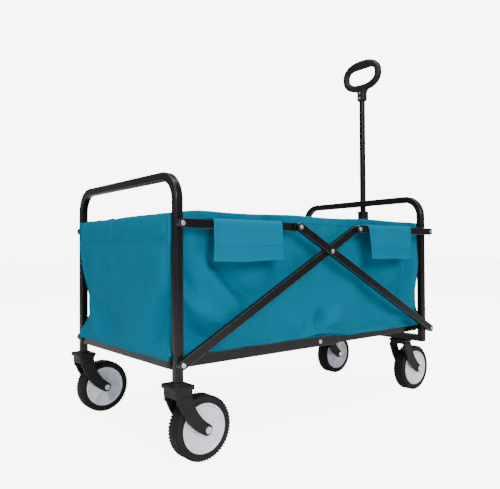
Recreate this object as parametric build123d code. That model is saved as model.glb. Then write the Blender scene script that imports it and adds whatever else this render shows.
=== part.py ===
from build123d import *
import math
import os

# Folding camp wagon, millimetres. +X is the front (handle end), -Y the right side, +Z up.
# The pieces are drawn about a point on the ground halfway between the rear and front posts, then
# shifted at the end so that the origin is under the middle of the wagon's outline.

# ---- overall frame ----
POST_SPACING_X = 890.0      # rear post to front post, centre to centre
POST_SPACING_Y = 500.0      # right post to left post, centre to centre
LOWER_PIVOT_Z = 214.0       # arms and floor rails turn here
PIVOT_RISE = 298.0          # lower pivot to upper pivot
HOOP_TOP_Z = 617.0          # centre line of the hoop's top bar
HOOP_BEND = 55.0            # bend radius at the centre line

# ---- tube sections ----
POST_SIZE = 20.0
POST_WALL = 1.5
POST_CORNER = 4.5
ARM_TALL = 20.0
ARM_THICK = 12.0
ARM_WALL = 1.5
RAIL_TALL = 25.0
LAYER_GAP = 1.0             # washer gap between side by side tubes
CROSS_TUBE = 20.0
RIM_BAR_R = 8.0

# ---- rivets and pins ----
RIVET_R = 3.0
RIVET_HEAD_R = 5.6
RIVET_HEAD_TALL = 2.6
PIN_CLEARANCE = 0.2
SPACER_R = 8.0

# ---- wheels ----
WHEEL_R = 71.0
TYRE_WIDTH = 40.0
HUB_R = 54.0
HUB_WIDTH = 34.0
HUB_WEB = 28.0
HUB_BOSS_R = 15.0
TRAIL = 56.0                # axle ahead of the post or swivel
AXLE_R = 5.0
AXLE_HEAD_R = 7.5
AXLE_HEAD_TALL = 4.0
FORK_INNER_GAP = 3.5        # fork arm to tyre side
FORK_ARM_THICK = 7.0
FORK_EYE_R = 13.0
REAR_CROWN_TALL = 26.0
REAR_CROWN_LENGTH = 46.0
CASTER_CROWN_TALL = 16.0
CASTER_CROWN_LENGTH = 40.0
REAR_CROWN_GAP = 2.0        # crown over the tyre
CASTER_CROWN_GAP = 12.0
SPIGOT_TALL = 24.0
SPIGOT_CLEARANCE = 0.15
CASTER_INSET = 80.0         # swivel axis inboard of the front post
CASTER_STEM_R = 5.5
SWIVEL_CLEARANCE = 0.4

# ---- handle ----
HANDLE_X_OFFSET = 27.0      # handle centre line ahead of the front posts
OUTER_TUBE = 21.0
OUTER_TUBE_TOP_Z = 588.0
OUTER_TUBE_WALL = 2.0
INNER_TUBE = 16.0
INNER_TUBE_WALL = 1.5
INNER_TUBE_BOTTOM_Z = 492.0
COLLAR_SIZE = 30.0
COLLAR_TALL = 40.0
COLLAR_LIP = 5.0
PIVOT_FORWARD = 4.0         # handle pivot ahead of the tube's centre line
PIVOT_ABOVE_END = 12.0
BRACKET_THICK = 3.0
BRACKET_TALL = 26.0
HANDLE_BOLT_R = 4.0
GRIP_SOCKET_Z = 984.0
GRIP_CENTRE_Z = 1073.0
GRIP_WIDTH = 165.0
GRIP_TALL = 109.0
GRIP_R = 12.0
GRIP_CORNER = 44.0
PALM_SWELL = 5.0
SOCKET_X = 25.0
SOCKET_Y = 31.0
SOCKET_DEPTH = 32.0

# ---- floor ----
HINGE_OVERRUN = 62.0        # rear rails carry on past the middle hinge
SECOND_TUBE_STEP = 80.0     # floor tubes, measured from the post towards the middle
THIRD_TUBE_STEP = 335.0
FLOOR_TUBE_SWING = 17.0     # room under the end floor tube as it turns about the lower pivot
BOARD_THICK = 4.0
BOARD_END_X = 62.0
BOARD_START = 62.0          # board starts this far from the post

# ---- cloth ----
CLOTH = 3.0
CLOTH_GAP = 0.5
RIM_BAR_Z = 508.0
SLEEVE_TALL = 56.0
SLEEVE_THICK = 28.0
PANEL_OUTSET_REAR = 13.5    # end cloth behind the rear posts' centre line
PANEL_OUTSET_FRONT = 14.0
CLOTH_TOP_Z = 545.0
FLAP_WIDTH = 200.0
FLAP_DROP = 93.0
FLAP_THICK = 2.0
REAR_FLAP_X = -265.0
FRONT_FLAP_X = 241.0

# ---- worked out from the sizes above ----
HALF_X = POST_SPACING_X / 2
HALF_Y = POST_SPACING_Y / 2
POST_INNER = HALF_Y - POST_SIZE / 2
UPPER_PIVOT_Z = LOWER_PIVOT_Z + PIVOT_RISE
ARM_ANGLE = 2 * math.atan(1 / (1 + POST_SPACING_X / PIVOT_RISE))
CROSS_REACH = HALF_X / math.cos(ARM_ANGLE)
ARM_LENGTH = PIVOT_RISE / math.sin(ARM_ANGLE)
KNUCKLE_X = ARM_LENGTH * math.cos(ARM_ANGLE) - HALF_X
CROSSING_Z = LOWER_PIVOT_Z + HALF_X * math.tan(ARM_ANGLE)
INNER_LAYER = HALF_Y + POST_SIZE / 2 + LAYER_GAP
OUTER_LAYER = INNER_LAYER + ARM_THICK + LAYER_GAP
OUTER_FACE = OUTER_LAYER + ARM_THICK
REAR_RAIL_LAYER = HALF_Y - POST_SIZE / 2 - LAYER_GAP - ARM_THICK
FRONT_RAIL_LAYER = REAR_RAIL_LAYER - LAYER_GAP - ARM_THICK
REAR_CROWN_BASE_Z = 2 * WHEEL_R + REAR_CROWN_GAP
CASTER_CROWN_BASE_Z = 2 * WHEEL_R + CASTER_CROWN_GAP
REAR_POST_BASE_Z = REAR_CROWN_BASE_Z + REAR_CROWN_TALL
LOWER_TUBE_BASE_Z = CASTER_CROWN_BASE_Z + CASTER_CROWN_TALL + SWIVEL_CLEARANCE
LOWER_TUBE_Z = LOWER_TUBE_BASE_Z + CROSS_TUBE / 2
CASTER_Y = HALF_Y - CASTER_INSET
STEM_TUBE_TOP_Z = LOWER_PIVOT_Z - FLOOR_TUBE_SWING
FORK_ARM_INNER = TYRE_WIDTH / 2 + FORK_INNER_GAP
FORK_ARM_OUTER = FORK_ARM_INNER + FORK_ARM_THICK
HANDLE_X = HALF_X + HANDLE_X_OFFSET
HANDLE_PIVOT_X = HANDLE_X + PIVOT_FORWARD
HANDLE_PIVOT_Z = LOWER_TUBE_Z
SIDE_CLOTH_OUTER = HALF_Y - POST_SIZE / 2 - CLOTH_GAP
SIDE_CLOTH_INNER = SIDE_CLOTH_OUTER - CLOTH
END_CLOTH_HALF = SIDE_CLOTH_INNER - CLOTH_GAP
CLOTH_BASE_Z = LOWER_PIVOT_Z + RAIL_TALL / 2 + CLOTH_GAP
TUBE_DROP = BOARD_THICK + CLOTH_GAP + 1.0
FLOOR_TUBE_TOP_Z = LOWER_PIVOT_Z + RAIL_TALL / 2 - TUBE_DROP
REAR_END_X = -HALF_X - REAR_CROWN_LENGTH / 2
FRONT_END_X = HALF_X + TRAIL + WHEEL_R


def on_left(piece):
    """The same piece on the wagon's left side."""
    return mirror(piece, about=Plane.XZ)


def square_tube(size, wall, corner):
    """Section of a rounded square tube."""
    bore = size - 2 * wall
    return RectangleRounded(size, size, corner) - RectangleRounded(bore, bore, max(corner - wall, 0.5))


def block(low, high):
    """Box between two corners."""
    size = [b - a for a, b in zip(low, high)]
    middle = [(a + b) / 2 for a, b in zip(low, high)]
    return Pos(*middle) * Box(*size)


def cross_pin(radius, x, z, y_low, y_high):
    """Round pin or hole along Y."""
    length = y_high - y_low
    return Pos(x, (y_low + y_high) / 2, z) * Rot(90, 0, 0) * Cylinder(radius, length)


def hoop(x, base_z):
    """Post, top bar and post bent from one square tube."""
    path = FilletPolyline(
        (x, -HALF_Y, base_z),
        (x, -HALF_Y, HOOP_TOP_Z),
        (x, HALF_Y, HOOP_TOP_Z),
        (x, HALF_Y, base_z),
        radius=HOOP_BEND,
    )
    section = Plane(origin=path @ 0, x_dir=(1, 0, 0), z_dir=path % 0)
    tube = sweep(section * square_tube(POST_SIZE, POST_WALL, POST_CORNER), path=path)
    for z in (LOWER_PIVOT_Z, UPPER_PIVOT_Z):
        tube -= cross_pin(RIVET_R + 0.05, x, z, -HALF_Y - POST_SIZE, HALF_Y + POST_SIZE)
    return tube


def flat_tube(start, end, layer, tall, hole_steps, overrun=0.0):
    """Flat tube with pressed round ends on the right side, from one pivot to another."""
    run, rise = end[0] - start[0], end[1] - start[1]
    pivots = math.hypot(run, rise)
    span = pivots + overrun
    bar = Pos(span / 2, 0, 0) * extrude(SlotCenterToCenter(span, tall), ARM_THICK)
    hollow = Box(span - tall - 4, tall - 2 * ARM_WALL, ARM_THICK - 2 * ARM_WALL)
    bar -= Pos(span / 2, 0, ARM_THICK / 2) * hollow
    for step in hole_steps:
        bar -= Pos(step, 0, ARM_THICK / 2) * Cylinder(RIVET_R + PIN_CLEARANCE, 2 * ARM_THICK)
    turn = -math.degrees(math.atan2(rise, run))
    return Pos(start[0], -layer, start[1]) * Rot(0, turn, 0) * Rot(90, 0, 0) * bar


def rivet(x, z, face, tail):
    """Rivet on the right side: domed head on the outer face, shank in to the tail."""
    head = Cylinder(RIVET_HEAD_R, RIVET_HEAD_TALL)
    head = fillet(head.edges().group_by(Axis.Z)[-1], 1.2)
    head -= Pos(0, 0, RIVET_HEAD_TALL / 2) * Sphere(1.6)
    head = Pos(x, -face - RIVET_HEAD_TALL / 2, z) * Rot(90, 0, 0) * head
    return head + cross_pin(RIVET_R, x, z, -face - 0.5, -tail)


def fork_arm(crown_base):
    """One swept arm from the crown down to the axle eye, in the XZ plane, facing up."""
    top = crown_base + 2 - WHEEL_R
    eye = Pos(TRAIL, 0) * Circle(FORK_EYE_R)
    lead = math.radians(62)
    front_end = (TRAIL + FORK_EYE_R * math.cos(lead), FORK_EYE_R * math.sin(lead))
    back_end = (TRAIL - FORK_EYE_R * math.cos(lead), -FORK_EYE_R * math.sin(lead))
    outline = Wire([
        Line((-17, top), (18, top)),
        ThreePointArc((18, top), (28, 0.64 * top), front_end),
        Line(front_end, back_end),
        ThreePointArc(back_end, (6, 0.33 * top), (-17, top)),
    ])
    return make_face(outline.edges()) + eye


def fork(x, y, crown_base, crown_length, crown_tall):
    """Moulded fork: a crown over the wheel and two curved arms."""
    crown_y = 2 * FORK_ARM_OUTER
    crown_z = crown_base + crown_tall / 2
    crown = Pos(x, y, crown_z) * Box(crown_length, crown_y, crown_tall)
    crown = fillet(crown.edges().filter_by(Axis.Z), 6)
    crown = fillet(crown.edges().group_by(Axis.Z)[-1], 2)
    for side in (-1, 1):
        arm = extrude(fork_arm(crown_base), FORK_ARM_THICK / 2, both=True)
        middle = side * (FORK_ARM_INNER + FORK_ARM_THICK / 2)
        crown += Pos(x, y + middle, WHEEL_R) * Rot(90, 0, 0) * arm
    eye_half = FORK_ARM_OUTER + 1
    crown -= cross_pin(AXLE_R + 0.05, x + TRAIL, WHEEL_R, y - eye_half, y + eye_half)
    return crown


def rear_fork():
    """Fixed rear fork on the right: its spigot plugs the post."""
    bore = POST_SIZE - 2 * POST_WALL - 2 * SPIGOT_CLEARANCE
    body = fork(-HALF_X, -HALF_Y, REAR_CROWN_BASE_Z, REAR_CROWN_LENGTH, REAR_CROWN_TALL)
    section = RectangleRounded(bore, bore, POST_CORNER - POST_WALL)
    return body + Pos(-HALF_X, -HALF_Y, REAR_POST_BASE_Z) * extrude(section, SPIGOT_TALL)


def caster_fork():
    """Swivelling front fork on the right, with its stem."""
    body = fork(HALF_X, -CASTER_Y, CASTER_CROWN_BASE_Z, CASTER_CROWN_LENGTH, CASTER_CROWN_TALL)
    stem_base = CASTER_CROWN_BASE_Z + CASTER_CROWN_TALL - 1
    stem_tall = STEM_TUBE_TOP_Z - 2 - stem_base
    return body + Pos(HALF_X, -CASTER_Y, stem_base + stem_tall / 2) * Cylinder(CASTER_STEM_R, stem_tall)


def axle(x, y):
    """Axle bolt with a round head on both sides."""
    face = FORK_ARM_OUTER
    bolt = cross_pin(AXLE_R, x, WHEEL_R, y - face, y + face)
    for side in (-1, 1):
        middle = y + side * (face + AXLE_HEAD_TALL / 2)
        half = AXLE_HEAD_TALL / 2
        bolt += cross_pin(AXLE_HEAD_R, x, WHEEL_R, middle - half, middle + half)
    return bolt


def hub(x, y):
    """Moulded hub: a rim, a web and a boss, turned about the axle."""
    rim = Cylinder(HUB_R, HUB_WIDTH) - Cylinder(HUB_R - 6, HUB_WIDTH)
    boss = Cylinder(HUB_BOSS_R, TYRE_WIDTH + 4)
    wheel = rim + Cylinder(HUB_R - 5, HUB_WEB) + boss
    wheel -= Cylinder(AXLE_R + PIN_CLEARANCE, 2 * TYRE_WIDTH)
    return Pos(x, y, WHEEL_R) * Rot(90, 0, 0) * wheel


def tyre(x, y):
    """Solid tyre with rounded shoulders and a sunk side wall."""
    ring = Cylinder(WHEEL_R, TYRE_WIDTH)
    ring = fillet(ring.edges(), 7)
    ring -= Cylinder(HUB_R, 2 * TYRE_WIDTH)
    return Pos(x, y, WHEEL_R) * Rot(90, 0, 0) * ring


def ring_path():
    """Centre line of the grip's ring, across the wagon."""
    outline = RectangleRounded(GRIP_WIDTH - 2 * GRIP_R, GRIP_TALL - 2 * GRIP_R, GRIP_CORNER - GRIP_R)
    return Plane(origin=(HANDLE_X, 0, GRIP_CENTRE_Z), x_dir=(0, 1, 0), z_dir=(1, 0, 0)) * outline


def grip():
    """Moulded ring grip with a palm swell and a socket for the inner tube."""
    path = ring_path().wire()
    section = Plane(origin=path @ 0, z_dir=path % 0)
    body = sweep(section * Circle(GRIP_R), path=path)
    bar_z = GRIP_CENTRE_Z + GRIP_TALL / 2 - GRIP_R
    swell = Cylinder(GRIP_R + 0.5, GRIP_WIDTH / 2)
    swell = fillet(swell.edges(), 8)
    body += Pos(HANDLE_X, 0, bar_z - PALM_SWELL) * Rot(90, 0, 0) * swell
    socket_top = GRIP_CENTRE_Z - GRIP_TALL / 2 + GRIP_R
    socket = extrude(RectangleRounded(SOCKET_X, SOCKET_Y, 5), socket_top - GRIP_SOCKET_Z)
    body += Pos(HANDLE_X, 0, GRIP_SOCKET_Z) * socket
    seat = RectangleRounded(INNER_TUBE + 0.1, INNER_TUBE + 0.1, 3)
    body -= Pos(HANDLE_X, 0, GRIP_SOCKET_Z) * extrude(seat, SOCKET_DEPTH)
    for z in grip_rivet_heights():
        body -= Pos(HANDLE_X, 0, z) * Rot(0, 90, 0) * Cylinder(RIVET_R + 0.05, 2 * SOCKET_X)
    return body


def grip_rivet_heights():
    """The two rivets through the socket and the inner tube."""
    return (GRIP_SOCKET_Z + 8, GRIP_SOCKET_Z + SOCKET_DEPTH - 6)


def grip_rivet(z):
    """Rivet through the grip's socket along X, a head at each end."""
    shank = Rot(0, 90, 0) * Cylinder(RIVET_R, SOCKET_X)
    piece = Pos(HANDLE_X, 0, z) * shank
    for side in (-1, 1):
        place = Pos(HANDLE_X + side * (SOCKET_X / 2 + 0.75), 0, z) * Rot(0, 90, 0)
        piece += place * Cylinder(RIVET_HEAD_R - 1, 1.5)
    return piece


def side_cloth():
    """Right side of the tub, between the end cloths, cut round both rim bars."""
    rear_x = -HALF_X - PANEL_OUTSET_REAR - CLOTH
    front_x = HALF_X + PANEL_OUTSET_FRONT
    cloth = block((rear_x, -SIDE_CLOTH_OUTER, CLOTH_BASE_Z), (front_x, -SIDE_CLOTH_INNER, CLOTH_TOP_Z))
    for x in (-HALF_X, HALF_X):
        cloth -= cross_pin(RIM_BAR_R + CLOTH_GAP, x, RIM_BAR_Z, -HALF_Y, -HALF_Y / 2)
    return cloth


def end_cloth(post_x, outward, outset):
    """End of the tub: a sleeve round the rim bar and the cloth below it."""
    near, far = sorted((post_x + outward * (outset - SLEEVE_THICK), post_x + outward * outset))
    sleeve_low = RIM_BAR_Z - SLEEVE_TALL / 2
    sleeve = block((near, -END_CLOTH_HALF, sleeve_low), (far, END_CLOTH_HALF, sleeve_low + SLEEVE_TALL))
    sleeve = fillet(sleeve.edges().filter_by(Axis.Y), 9)
    inner, outer = sorted((post_x + outward * (outset - CLOTH), post_x + outward * outset))
    sheet = block((inner, -END_CLOTH_HALF, CLOTH_BASE_Z), (outer, END_CLOTH_HALF, RIM_BAR_Z))
    bore = cross_pin(RIM_BAR_R + 0.3, post_x, RIM_BAR_Z, -HALF_Y, HALF_Y)
    return sleeve + sheet - bore


def flap(x, link_outer):
    """Cloth flap on the right, from the side cloth over the link's top and down its outer face."""
    low_x, high_x = x - FLAP_WIDTH / 2, x + FLAP_WIDTH / 2
    top = UPPER_PIVOT_Z + ARM_TALL / 2 + CLOTH_GAP
    face = link_outer + CLOTH_GAP
    cover = block((low_x, -face - FLAP_THICK, top), (high_x, -SIDE_CLOTH_OUTER, top + FLAP_THICK))
    return cover + block((low_x, -face - FLAP_THICK, top - FLAP_DROP), (high_x, -face, top + FLAP_THICK))


def cross_tube(x, base_z, half_width):
    """Square tube across the wagon, open at both ends."""
    half = CROSS_TUBE / 2
    bore = half - POST_WALL
    z = base_z + half
    tube = block((x - half, -half_width, z - half), (x + half, half_width, z + half))
    return tube - block((x - bore, -half_width, z - bore), (x + bore, half_width, z + bore))


def floor_tube(x, half_width):
    """Cross tube welded between two floor rails."""
    return cross_tube(x, FLOOR_TUBE_TOP_Z - CROSS_TUBE, half_width)


def floor_board(x_low, x_high, half_width):
    """Stiff base board on the floor tubes."""
    low = FLOOR_TUBE_TOP_Z + 0.2
    return block((x_low, -half_width, low), (x_high, half_width, low + BOARD_THICK))


def spacer(x, z, y_low):
    """Bush between a front post and the tube beside it, on the right."""
    length = OUTER_LAYER - HALF_Y - POST_SIZE / 2 - 0.3
    ring = cross_pin(SPACER_R, x, z, y_low, y_low + length)
    return ring - cross_pin(RIVET_R + 0.05, x, z, y_low - 1, y_low + length + 1)


def upright_tube(x, z_low, z_high, size, wall, corner, y=0.0):
    """Vertical rounded square tube."""
    return Pos(x, y, z_low) * extrude(square_tube(size, wall, corner), z_high - z_low)


parts = {}

# Rear frame: the hoop, its rim bar, end cloth, fixed forks, axles and pivots.
parts["rear_hoop"] = hoop(-HALF_X, REAR_POST_BASE_Z)
parts["rear_rim_bar"] = cross_pin(RIM_BAR_R, -HALF_X, RIM_BAR_Z, -POST_INNER, POST_INNER)
parts["rear_panel"] = end_cloth(-HALF_X, -1, PANEL_OUTSET_REAR + CLOTH)
parts["right_rear_fork"] = rear_fork()
parts["left_rear_fork"] = on_left(rear_fork())
rear_axles = [axle(-HALF_X + TRAIL, side * HALF_Y) for side in (-1, 1)]
parts["rear_axles"] = Compound(rear_axles)
rear_pins = [
    rivet(-HALF_X, UPPER_PIVOT_Z, INNER_LAYER + ARM_THICK, POST_INNER + 1),
    rivet(-HALF_X, LOWER_PIVOT_Z, INNER_LAYER + ARM_THICK, REAR_RAIL_LAYER - 1),
]
parts["rear_pivot_rivets"] = Compound(rear_pins + [on_left(pin) for pin in rear_pins])

# Front frame: the hoop, the lower tube that carries the casters, and the handle's bracket.
front_hoop = hoop(HALF_X, LOWER_TUBE_BASE_Z)
parts["front_hoop"] = front_hoop
lower_tube = cross_tube(HALF_X, LOWER_TUBE_BASE_Z, POST_INNER)
stem_bore = CASTER_STEM_R + SWIVEL_CLEARANCE
for y in (-CASTER_Y, CASTER_Y):
    lower_tube -= Pos(HALF_X, y, LOWER_TUBE_Z) * Cylinder(stem_bore, 2 * CROSS_TUBE)
parts["front_lower_tube"] = lower_tube
stem_tubes = []
for y in (-CASTER_Y, CASTER_Y):
    low = LOWER_TUBE_BASE_Z + CROSS_TUBE
    tall = STEM_TUBE_TOP_Z - low
    tube = Pos(HALF_X, y, low) * extrude(RectangleRounded(CROSS_TUBE, CROSS_TUBE, 3), tall)
    stem_tubes.append(tube - Pos(HALF_X, y, low) * Cylinder(stem_bore, 4 * tall))
parts["caster_stem_tubes"] = Compound(stem_tubes)
parts["front_rim_bar"] = cross_pin(RIM_BAR_R, HALF_X, RIM_BAR_Z, -POST_INNER, POST_INNER)
parts["front_panel"] = end_cloth(HALF_X, 1, PANEL_OUTSET_FRONT)
cheek_inner = OUTER_TUBE / 2 + 0.5
cheek_x = (HALF_X + CROSS_TUBE / 2, HANDLE_PIVOT_X + 11)
cheek_z = (HANDLE_PIVOT_Z - BRACKET_TALL / 2 + 3, HANDLE_PIVOT_Z + BRACKET_TALL / 2 - 3)
bracket = Part()
for side in (-1, 1):
    y_low, y_high = sorted((side * cheek_inner, side * (cheek_inner + BRACKET_THICK)))
    cheek = block((cheek_x[0], y_low, cheek_z[0]), (cheek_x[1], y_high, cheek_z[1]))
    bracket += fillet(cheek.edges().filter_by(Axis.Y).group_by(Axis.X)[-1], 8)
bridge_half = cheek_inner + BRACKET_THICK
bracket += block((cheek_x[0], -bridge_half, cheek_z[0]), (cheek_x[0] + 1.5, bridge_half, cheek_z[1]))
bracket -= cross_pin(HANDLE_BOLT_R + 0.05, HANDLE_PIVOT_X, HANDLE_PIVOT_Z, -50, 50)
parts["handle_bracket"] = bracket
bolt = cross_pin(HANDLE_BOLT_R, HANDLE_PIVOT_X, HANDLE_PIVOT_Z, -bridge_half, bridge_half)
for side in (-1, 1):
    y_low, y_high = sorted((side * bridge_half, side * (bridge_half + 3)))
    bolt += cross_pin(HANDLE_BOLT_R + 2.5, HANDLE_PIVOT_X, HANDLE_PIVOT_Z, y_low, y_high)
parts["handle_pivot_bolt"] = bolt
front_pins = [
    rivet(HALF_X, UPPER_PIVOT_Z, OUTER_FACE, POST_INNER + 1),
    rivet(HALF_X, LOWER_PIVOT_Z, OUTER_FACE, FRONT_RAIL_LAYER - 1),
]
parts["front_pivot_rivets"] = Compound(front_pins + [on_left(pin) for pin in front_pins])
spacers = [
    spacer(HALF_X, UPPER_PIVOT_Z, -OUTER_LAYER + 0.3),
    spacer(HALF_X, LOWER_PIVOT_Z, -OUTER_LAYER + 0.3),
    spacer(HALF_X, LOWER_PIVOT_Z, -POST_INNER),
]
parts["front_spacers"] = Compound(spacers + [on_left(ring) for ring in spacers])

# Side linkage: two crossed arms and two links on each side.
rear_low, rear_high = (-HALF_X, LOWER_PIVOT_Z), (-HALF_X, UPPER_PIVOT_Z)
front_low, front_high = (HALF_X, LOWER_PIVOT_Z), (HALF_X, UPPER_PIVOT_Z)
rear_knuckle, front_knuckle = (-KNUCKLE_X, UPPER_PIVOT_Z), (KNUCKLE_X, UPPER_PIVOT_Z)
link_length = HALF_X - KNUCKLE_X
linkage = {
    "inner_arm": flat_tube(rear_low, front_knuckle, INNER_LAYER, ARM_TALL, (0, CROSS_REACH, ARM_LENGTH)),
    "outer_arm": flat_tube(rear_knuckle, front_low, OUTER_LAYER, ARM_TALL,
                           (0, ARM_LENGTH - CROSS_REACH, ARM_LENGTH)),
    "rear_link": flat_tube(rear_high, rear_knuckle, INNER_LAYER, ARM_TALL, (0, link_length)),
    "front_link": flat_tube(front_knuckle, front_high, OUTER_LAYER, ARM_TALL, (0, link_length)),
}
crossing_rivet = rivet(0, CROSSING_Z, OUTER_FACE, INNER_LAYER + 0.5)
knuckle_rivet = rivet(-KNUCKLE_X, UPPER_PIVOT_Z, OUTER_FACE, OUTER_LAYER)
front_knuckle_rivet = rivet(KNUCKLE_X, UPPER_PIVOT_Z, OUTER_FACE, OUTER_LAYER)
linkage["front_link_rivet"] = front_knuckle_rivet
for name, piece in linkage.items():
    parts["right_" + name] = piece
    parts["left_" + name] = on_left(piece)
for side_name, place in (("right_", lambda p: p), ("left_", on_left)):
    parts[side_name + "outer_arm_rivets"] = Compound([place(crossing_rivet), place(knuckle_rivet)])

# Folding floor: two rails, cross tubes and a board at each end, hinged in the middle.
middle = (0, LOWER_PIVOT_Z)
rear_rail = flat_tube(rear_low, middle, REAR_RAIL_LAYER, RAIL_TALL, (0, HALF_X), HINGE_OVERRUN)
front_rail = flat_tube(middle, front_low, FRONT_RAIL_LAYER, RAIL_TALL, (0, HALF_X))
parts["right_rear_rail"] = rear_rail
parts["left_rear_rail"] = on_left(rear_rail)
parts["right_front_rail"] = front_rail
parts["left_front_rail"] = on_left(front_rail)
tube_places = [HALF_X - step for step in (0, SECOND_TUBE_STEP, THIRD_TUBE_STEP)]
parts["rear_floor_tubes"] = Compound([floor_tube(-x, REAR_RAIL_LAYER) for x in tube_places])
parts["front_floor_tubes"] = Compound([floor_tube(x, FRONT_RAIL_LAYER) for x in tube_places])
board_half = FRONT_RAIL_LAYER - 2
parts["rear_floor_board"] = floor_board(-HALF_X + BOARD_START, -BOARD_END_X, board_half)
parts["front_floor_board"] = floor_board(BOARD_END_X, HALF_X - BOARD_START, board_half)
hinge_rivet = rivet(0, LOWER_PIVOT_Z, REAR_RAIL_LAYER + ARM_THICK, REAR_RAIL_LAYER)
parts["floor_hinge_rivets"] = Compound([hinge_rivet, on_left(hinge_rivet)])

# Handle: an outer tube with a collar, an inner tube that telescopes, and the grip.
outer_tube = upright_tube(
    HANDLE_X, HANDLE_PIVOT_Z - PIVOT_ABOVE_END, OUTER_TUBE_TOP_Z, OUTER_TUBE, OUTER_TUBE_WALL, 4
)
outer_tube -= cross_pin(HANDLE_BOLT_R + PIN_CLEARANCE, HANDLE_PIVOT_X, HANDLE_PIVOT_Z, -50, 50)
parts["handle_outer_tube"] = outer_tube
collar_low = OUTER_TUBE_TOP_Z + COLLAR_LIP - COLLAR_TALL
collar = Pos(HANDLE_X, 0, collar_low) * extrude(RectangleRounded(COLLAR_SIZE, COLLAR_SIZE, 7), COLLAR_TALL)
collar = fillet(collar.edges().group_by(Axis.Z)[-1], 2)
seat = RectangleRounded(OUTER_TUBE + 0.1, OUTER_TUBE + 0.1, 4)
collar -= Pos(HANDLE_X, 0, collar_low) * extrude(seat, COLLAR_TALL - COLLAR_LIP)
throat = RectangleRounded(INNER_TUBE + 0.8, INNER_TUBE + 0.8, 3.4)
collar -= Pos(HANDLE_X, 0, collar_low) * extrude(throat, COLLAR_TALL)
parts["handle_collar"] = collar
inner_tube_top = GRIP_SOCKET_Z + SOCKET_DEPTH
inner_tube = upright_tube(HANDLE_X, INNER_TUBE_BOTTOM_Z, inner_tube_top, INNER_TUBE, INNER_TUBE_WALL, 3)
for z in grip_rivet_heights():
    inner_tube -= Pos(HANDLE_X, 0, z) * Rot(0, 90, 0) * Cylinder(RIVET_R + 0.05, 2 * SOCKET_X)
parts["handle_inner_tube"] = inner_tube
parts["handle_grip"] = grip()
parts["grip_rivets"] = Compound([grip_rivet(z) for z in grip_rivet_heights()])

# Wheels and casters.
parts["right_caster_fork"] = caster_fork()
parts["left_caster_fork"] = on_left(caster_fork())
parts["right_caster_axle"] = axle(HALF_X + TRAIL, -CASTER_Y)
parts["left_caster_axle"] = axle(HALF_X + TRAIL, CASTER_Y)
wheel_places = {
    "right_rear": (-HALF_X + TRAIL, -HALF_Y),
    "left_rear": (-HALF_X + TRAIL, HALF_Y),
    "right_front": (HALF_X + TRAIL, -CASTER_Y),
    "left_front": (HALF_X + TRAIL, CASTER_Y),
}
for name, (x, y) in wheel_places.items():
    parts[name + "_tyre"] = tyre(x, y)
    parts[name + "_hub"] = hub(x, y)

# Cloth that folds up with the frame: the tub's sides and the flaps over the links.
parts["right_side_panel"] = side_cloth()
parts["left_side_panel"] = on_left(side_cloth())
rear_flap = flap(REAR_FLAP_X, INNER_LAYER + ARM_THICK)
front_flap = flap(FRONT_FLAP_X, OUTER_FACE)
parts["right_rear_flap"] = rear_flap
parts["left_rear_flap"] = on_left(rear_flap)
parts["right_front_flap"] = front_flap
parts["left_front_flap"] = on_left(front_flap)

centring = Pos(-(REAR_END_X + FRONT_END_X) / 2, 0, 0)
os.makedirs("parts", exist_ok=True)
for name, piece in parts.items():
    export_step(centring * piece, os.path.join("parts", name + ".step"))
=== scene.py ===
import math
import bmesh
import bpy
import numpy as np
from mathutils import Matrix, Vector, noise


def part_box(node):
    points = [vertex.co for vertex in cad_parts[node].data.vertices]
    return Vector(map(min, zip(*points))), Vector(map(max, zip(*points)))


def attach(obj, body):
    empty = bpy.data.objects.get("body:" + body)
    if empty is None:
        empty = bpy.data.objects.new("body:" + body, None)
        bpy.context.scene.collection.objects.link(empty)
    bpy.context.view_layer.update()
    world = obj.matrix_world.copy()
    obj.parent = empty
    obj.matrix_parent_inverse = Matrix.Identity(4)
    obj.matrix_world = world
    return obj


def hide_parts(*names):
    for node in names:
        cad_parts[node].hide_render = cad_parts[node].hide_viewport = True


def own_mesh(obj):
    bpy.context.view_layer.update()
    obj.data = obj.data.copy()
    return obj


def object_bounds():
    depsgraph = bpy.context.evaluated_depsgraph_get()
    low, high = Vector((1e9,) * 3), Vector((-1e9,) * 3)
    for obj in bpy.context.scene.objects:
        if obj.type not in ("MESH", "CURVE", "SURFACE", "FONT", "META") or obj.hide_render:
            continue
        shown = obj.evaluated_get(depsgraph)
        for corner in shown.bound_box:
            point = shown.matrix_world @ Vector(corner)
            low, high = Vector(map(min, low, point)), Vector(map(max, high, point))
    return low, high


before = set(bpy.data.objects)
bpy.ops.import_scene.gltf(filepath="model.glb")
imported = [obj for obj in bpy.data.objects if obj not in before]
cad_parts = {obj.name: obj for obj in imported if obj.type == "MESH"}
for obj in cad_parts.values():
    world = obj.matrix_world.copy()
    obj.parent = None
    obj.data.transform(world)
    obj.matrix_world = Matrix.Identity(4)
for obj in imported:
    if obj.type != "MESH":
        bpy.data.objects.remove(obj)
cad_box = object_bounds()
box_low, box_high = cad_box
middle = Vector(((box_low[0] + box_high[0]) / 2, (box_low[1] + box_high[1]) / 2, box_low[2]))


# ---- Studio ----
# The wagon stands on a plain white sweep, lit by four soft boxes: overhead, right, rear and far back.
# The camera is on a stand a little lower than the tub's rim, off the rear right corner.
CAMERA_AT = Vector((-1.1193, -1.2589, 0.4469))
CAMERA_TURN = math.radians(50.849)
CAMERA_RISE = math.radians(0.945)
CAMERA_ROLL = math.radians(-0.296)
LENS = 39.84
FLOOR_WHITE = (0.86, 0.86, 0.865, 1)
FLOOR_R = 40
FLOOR_GLOW = 6.6
WORLD_LIGHT = 0.32
WORLD_SEEN = 7.5

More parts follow.
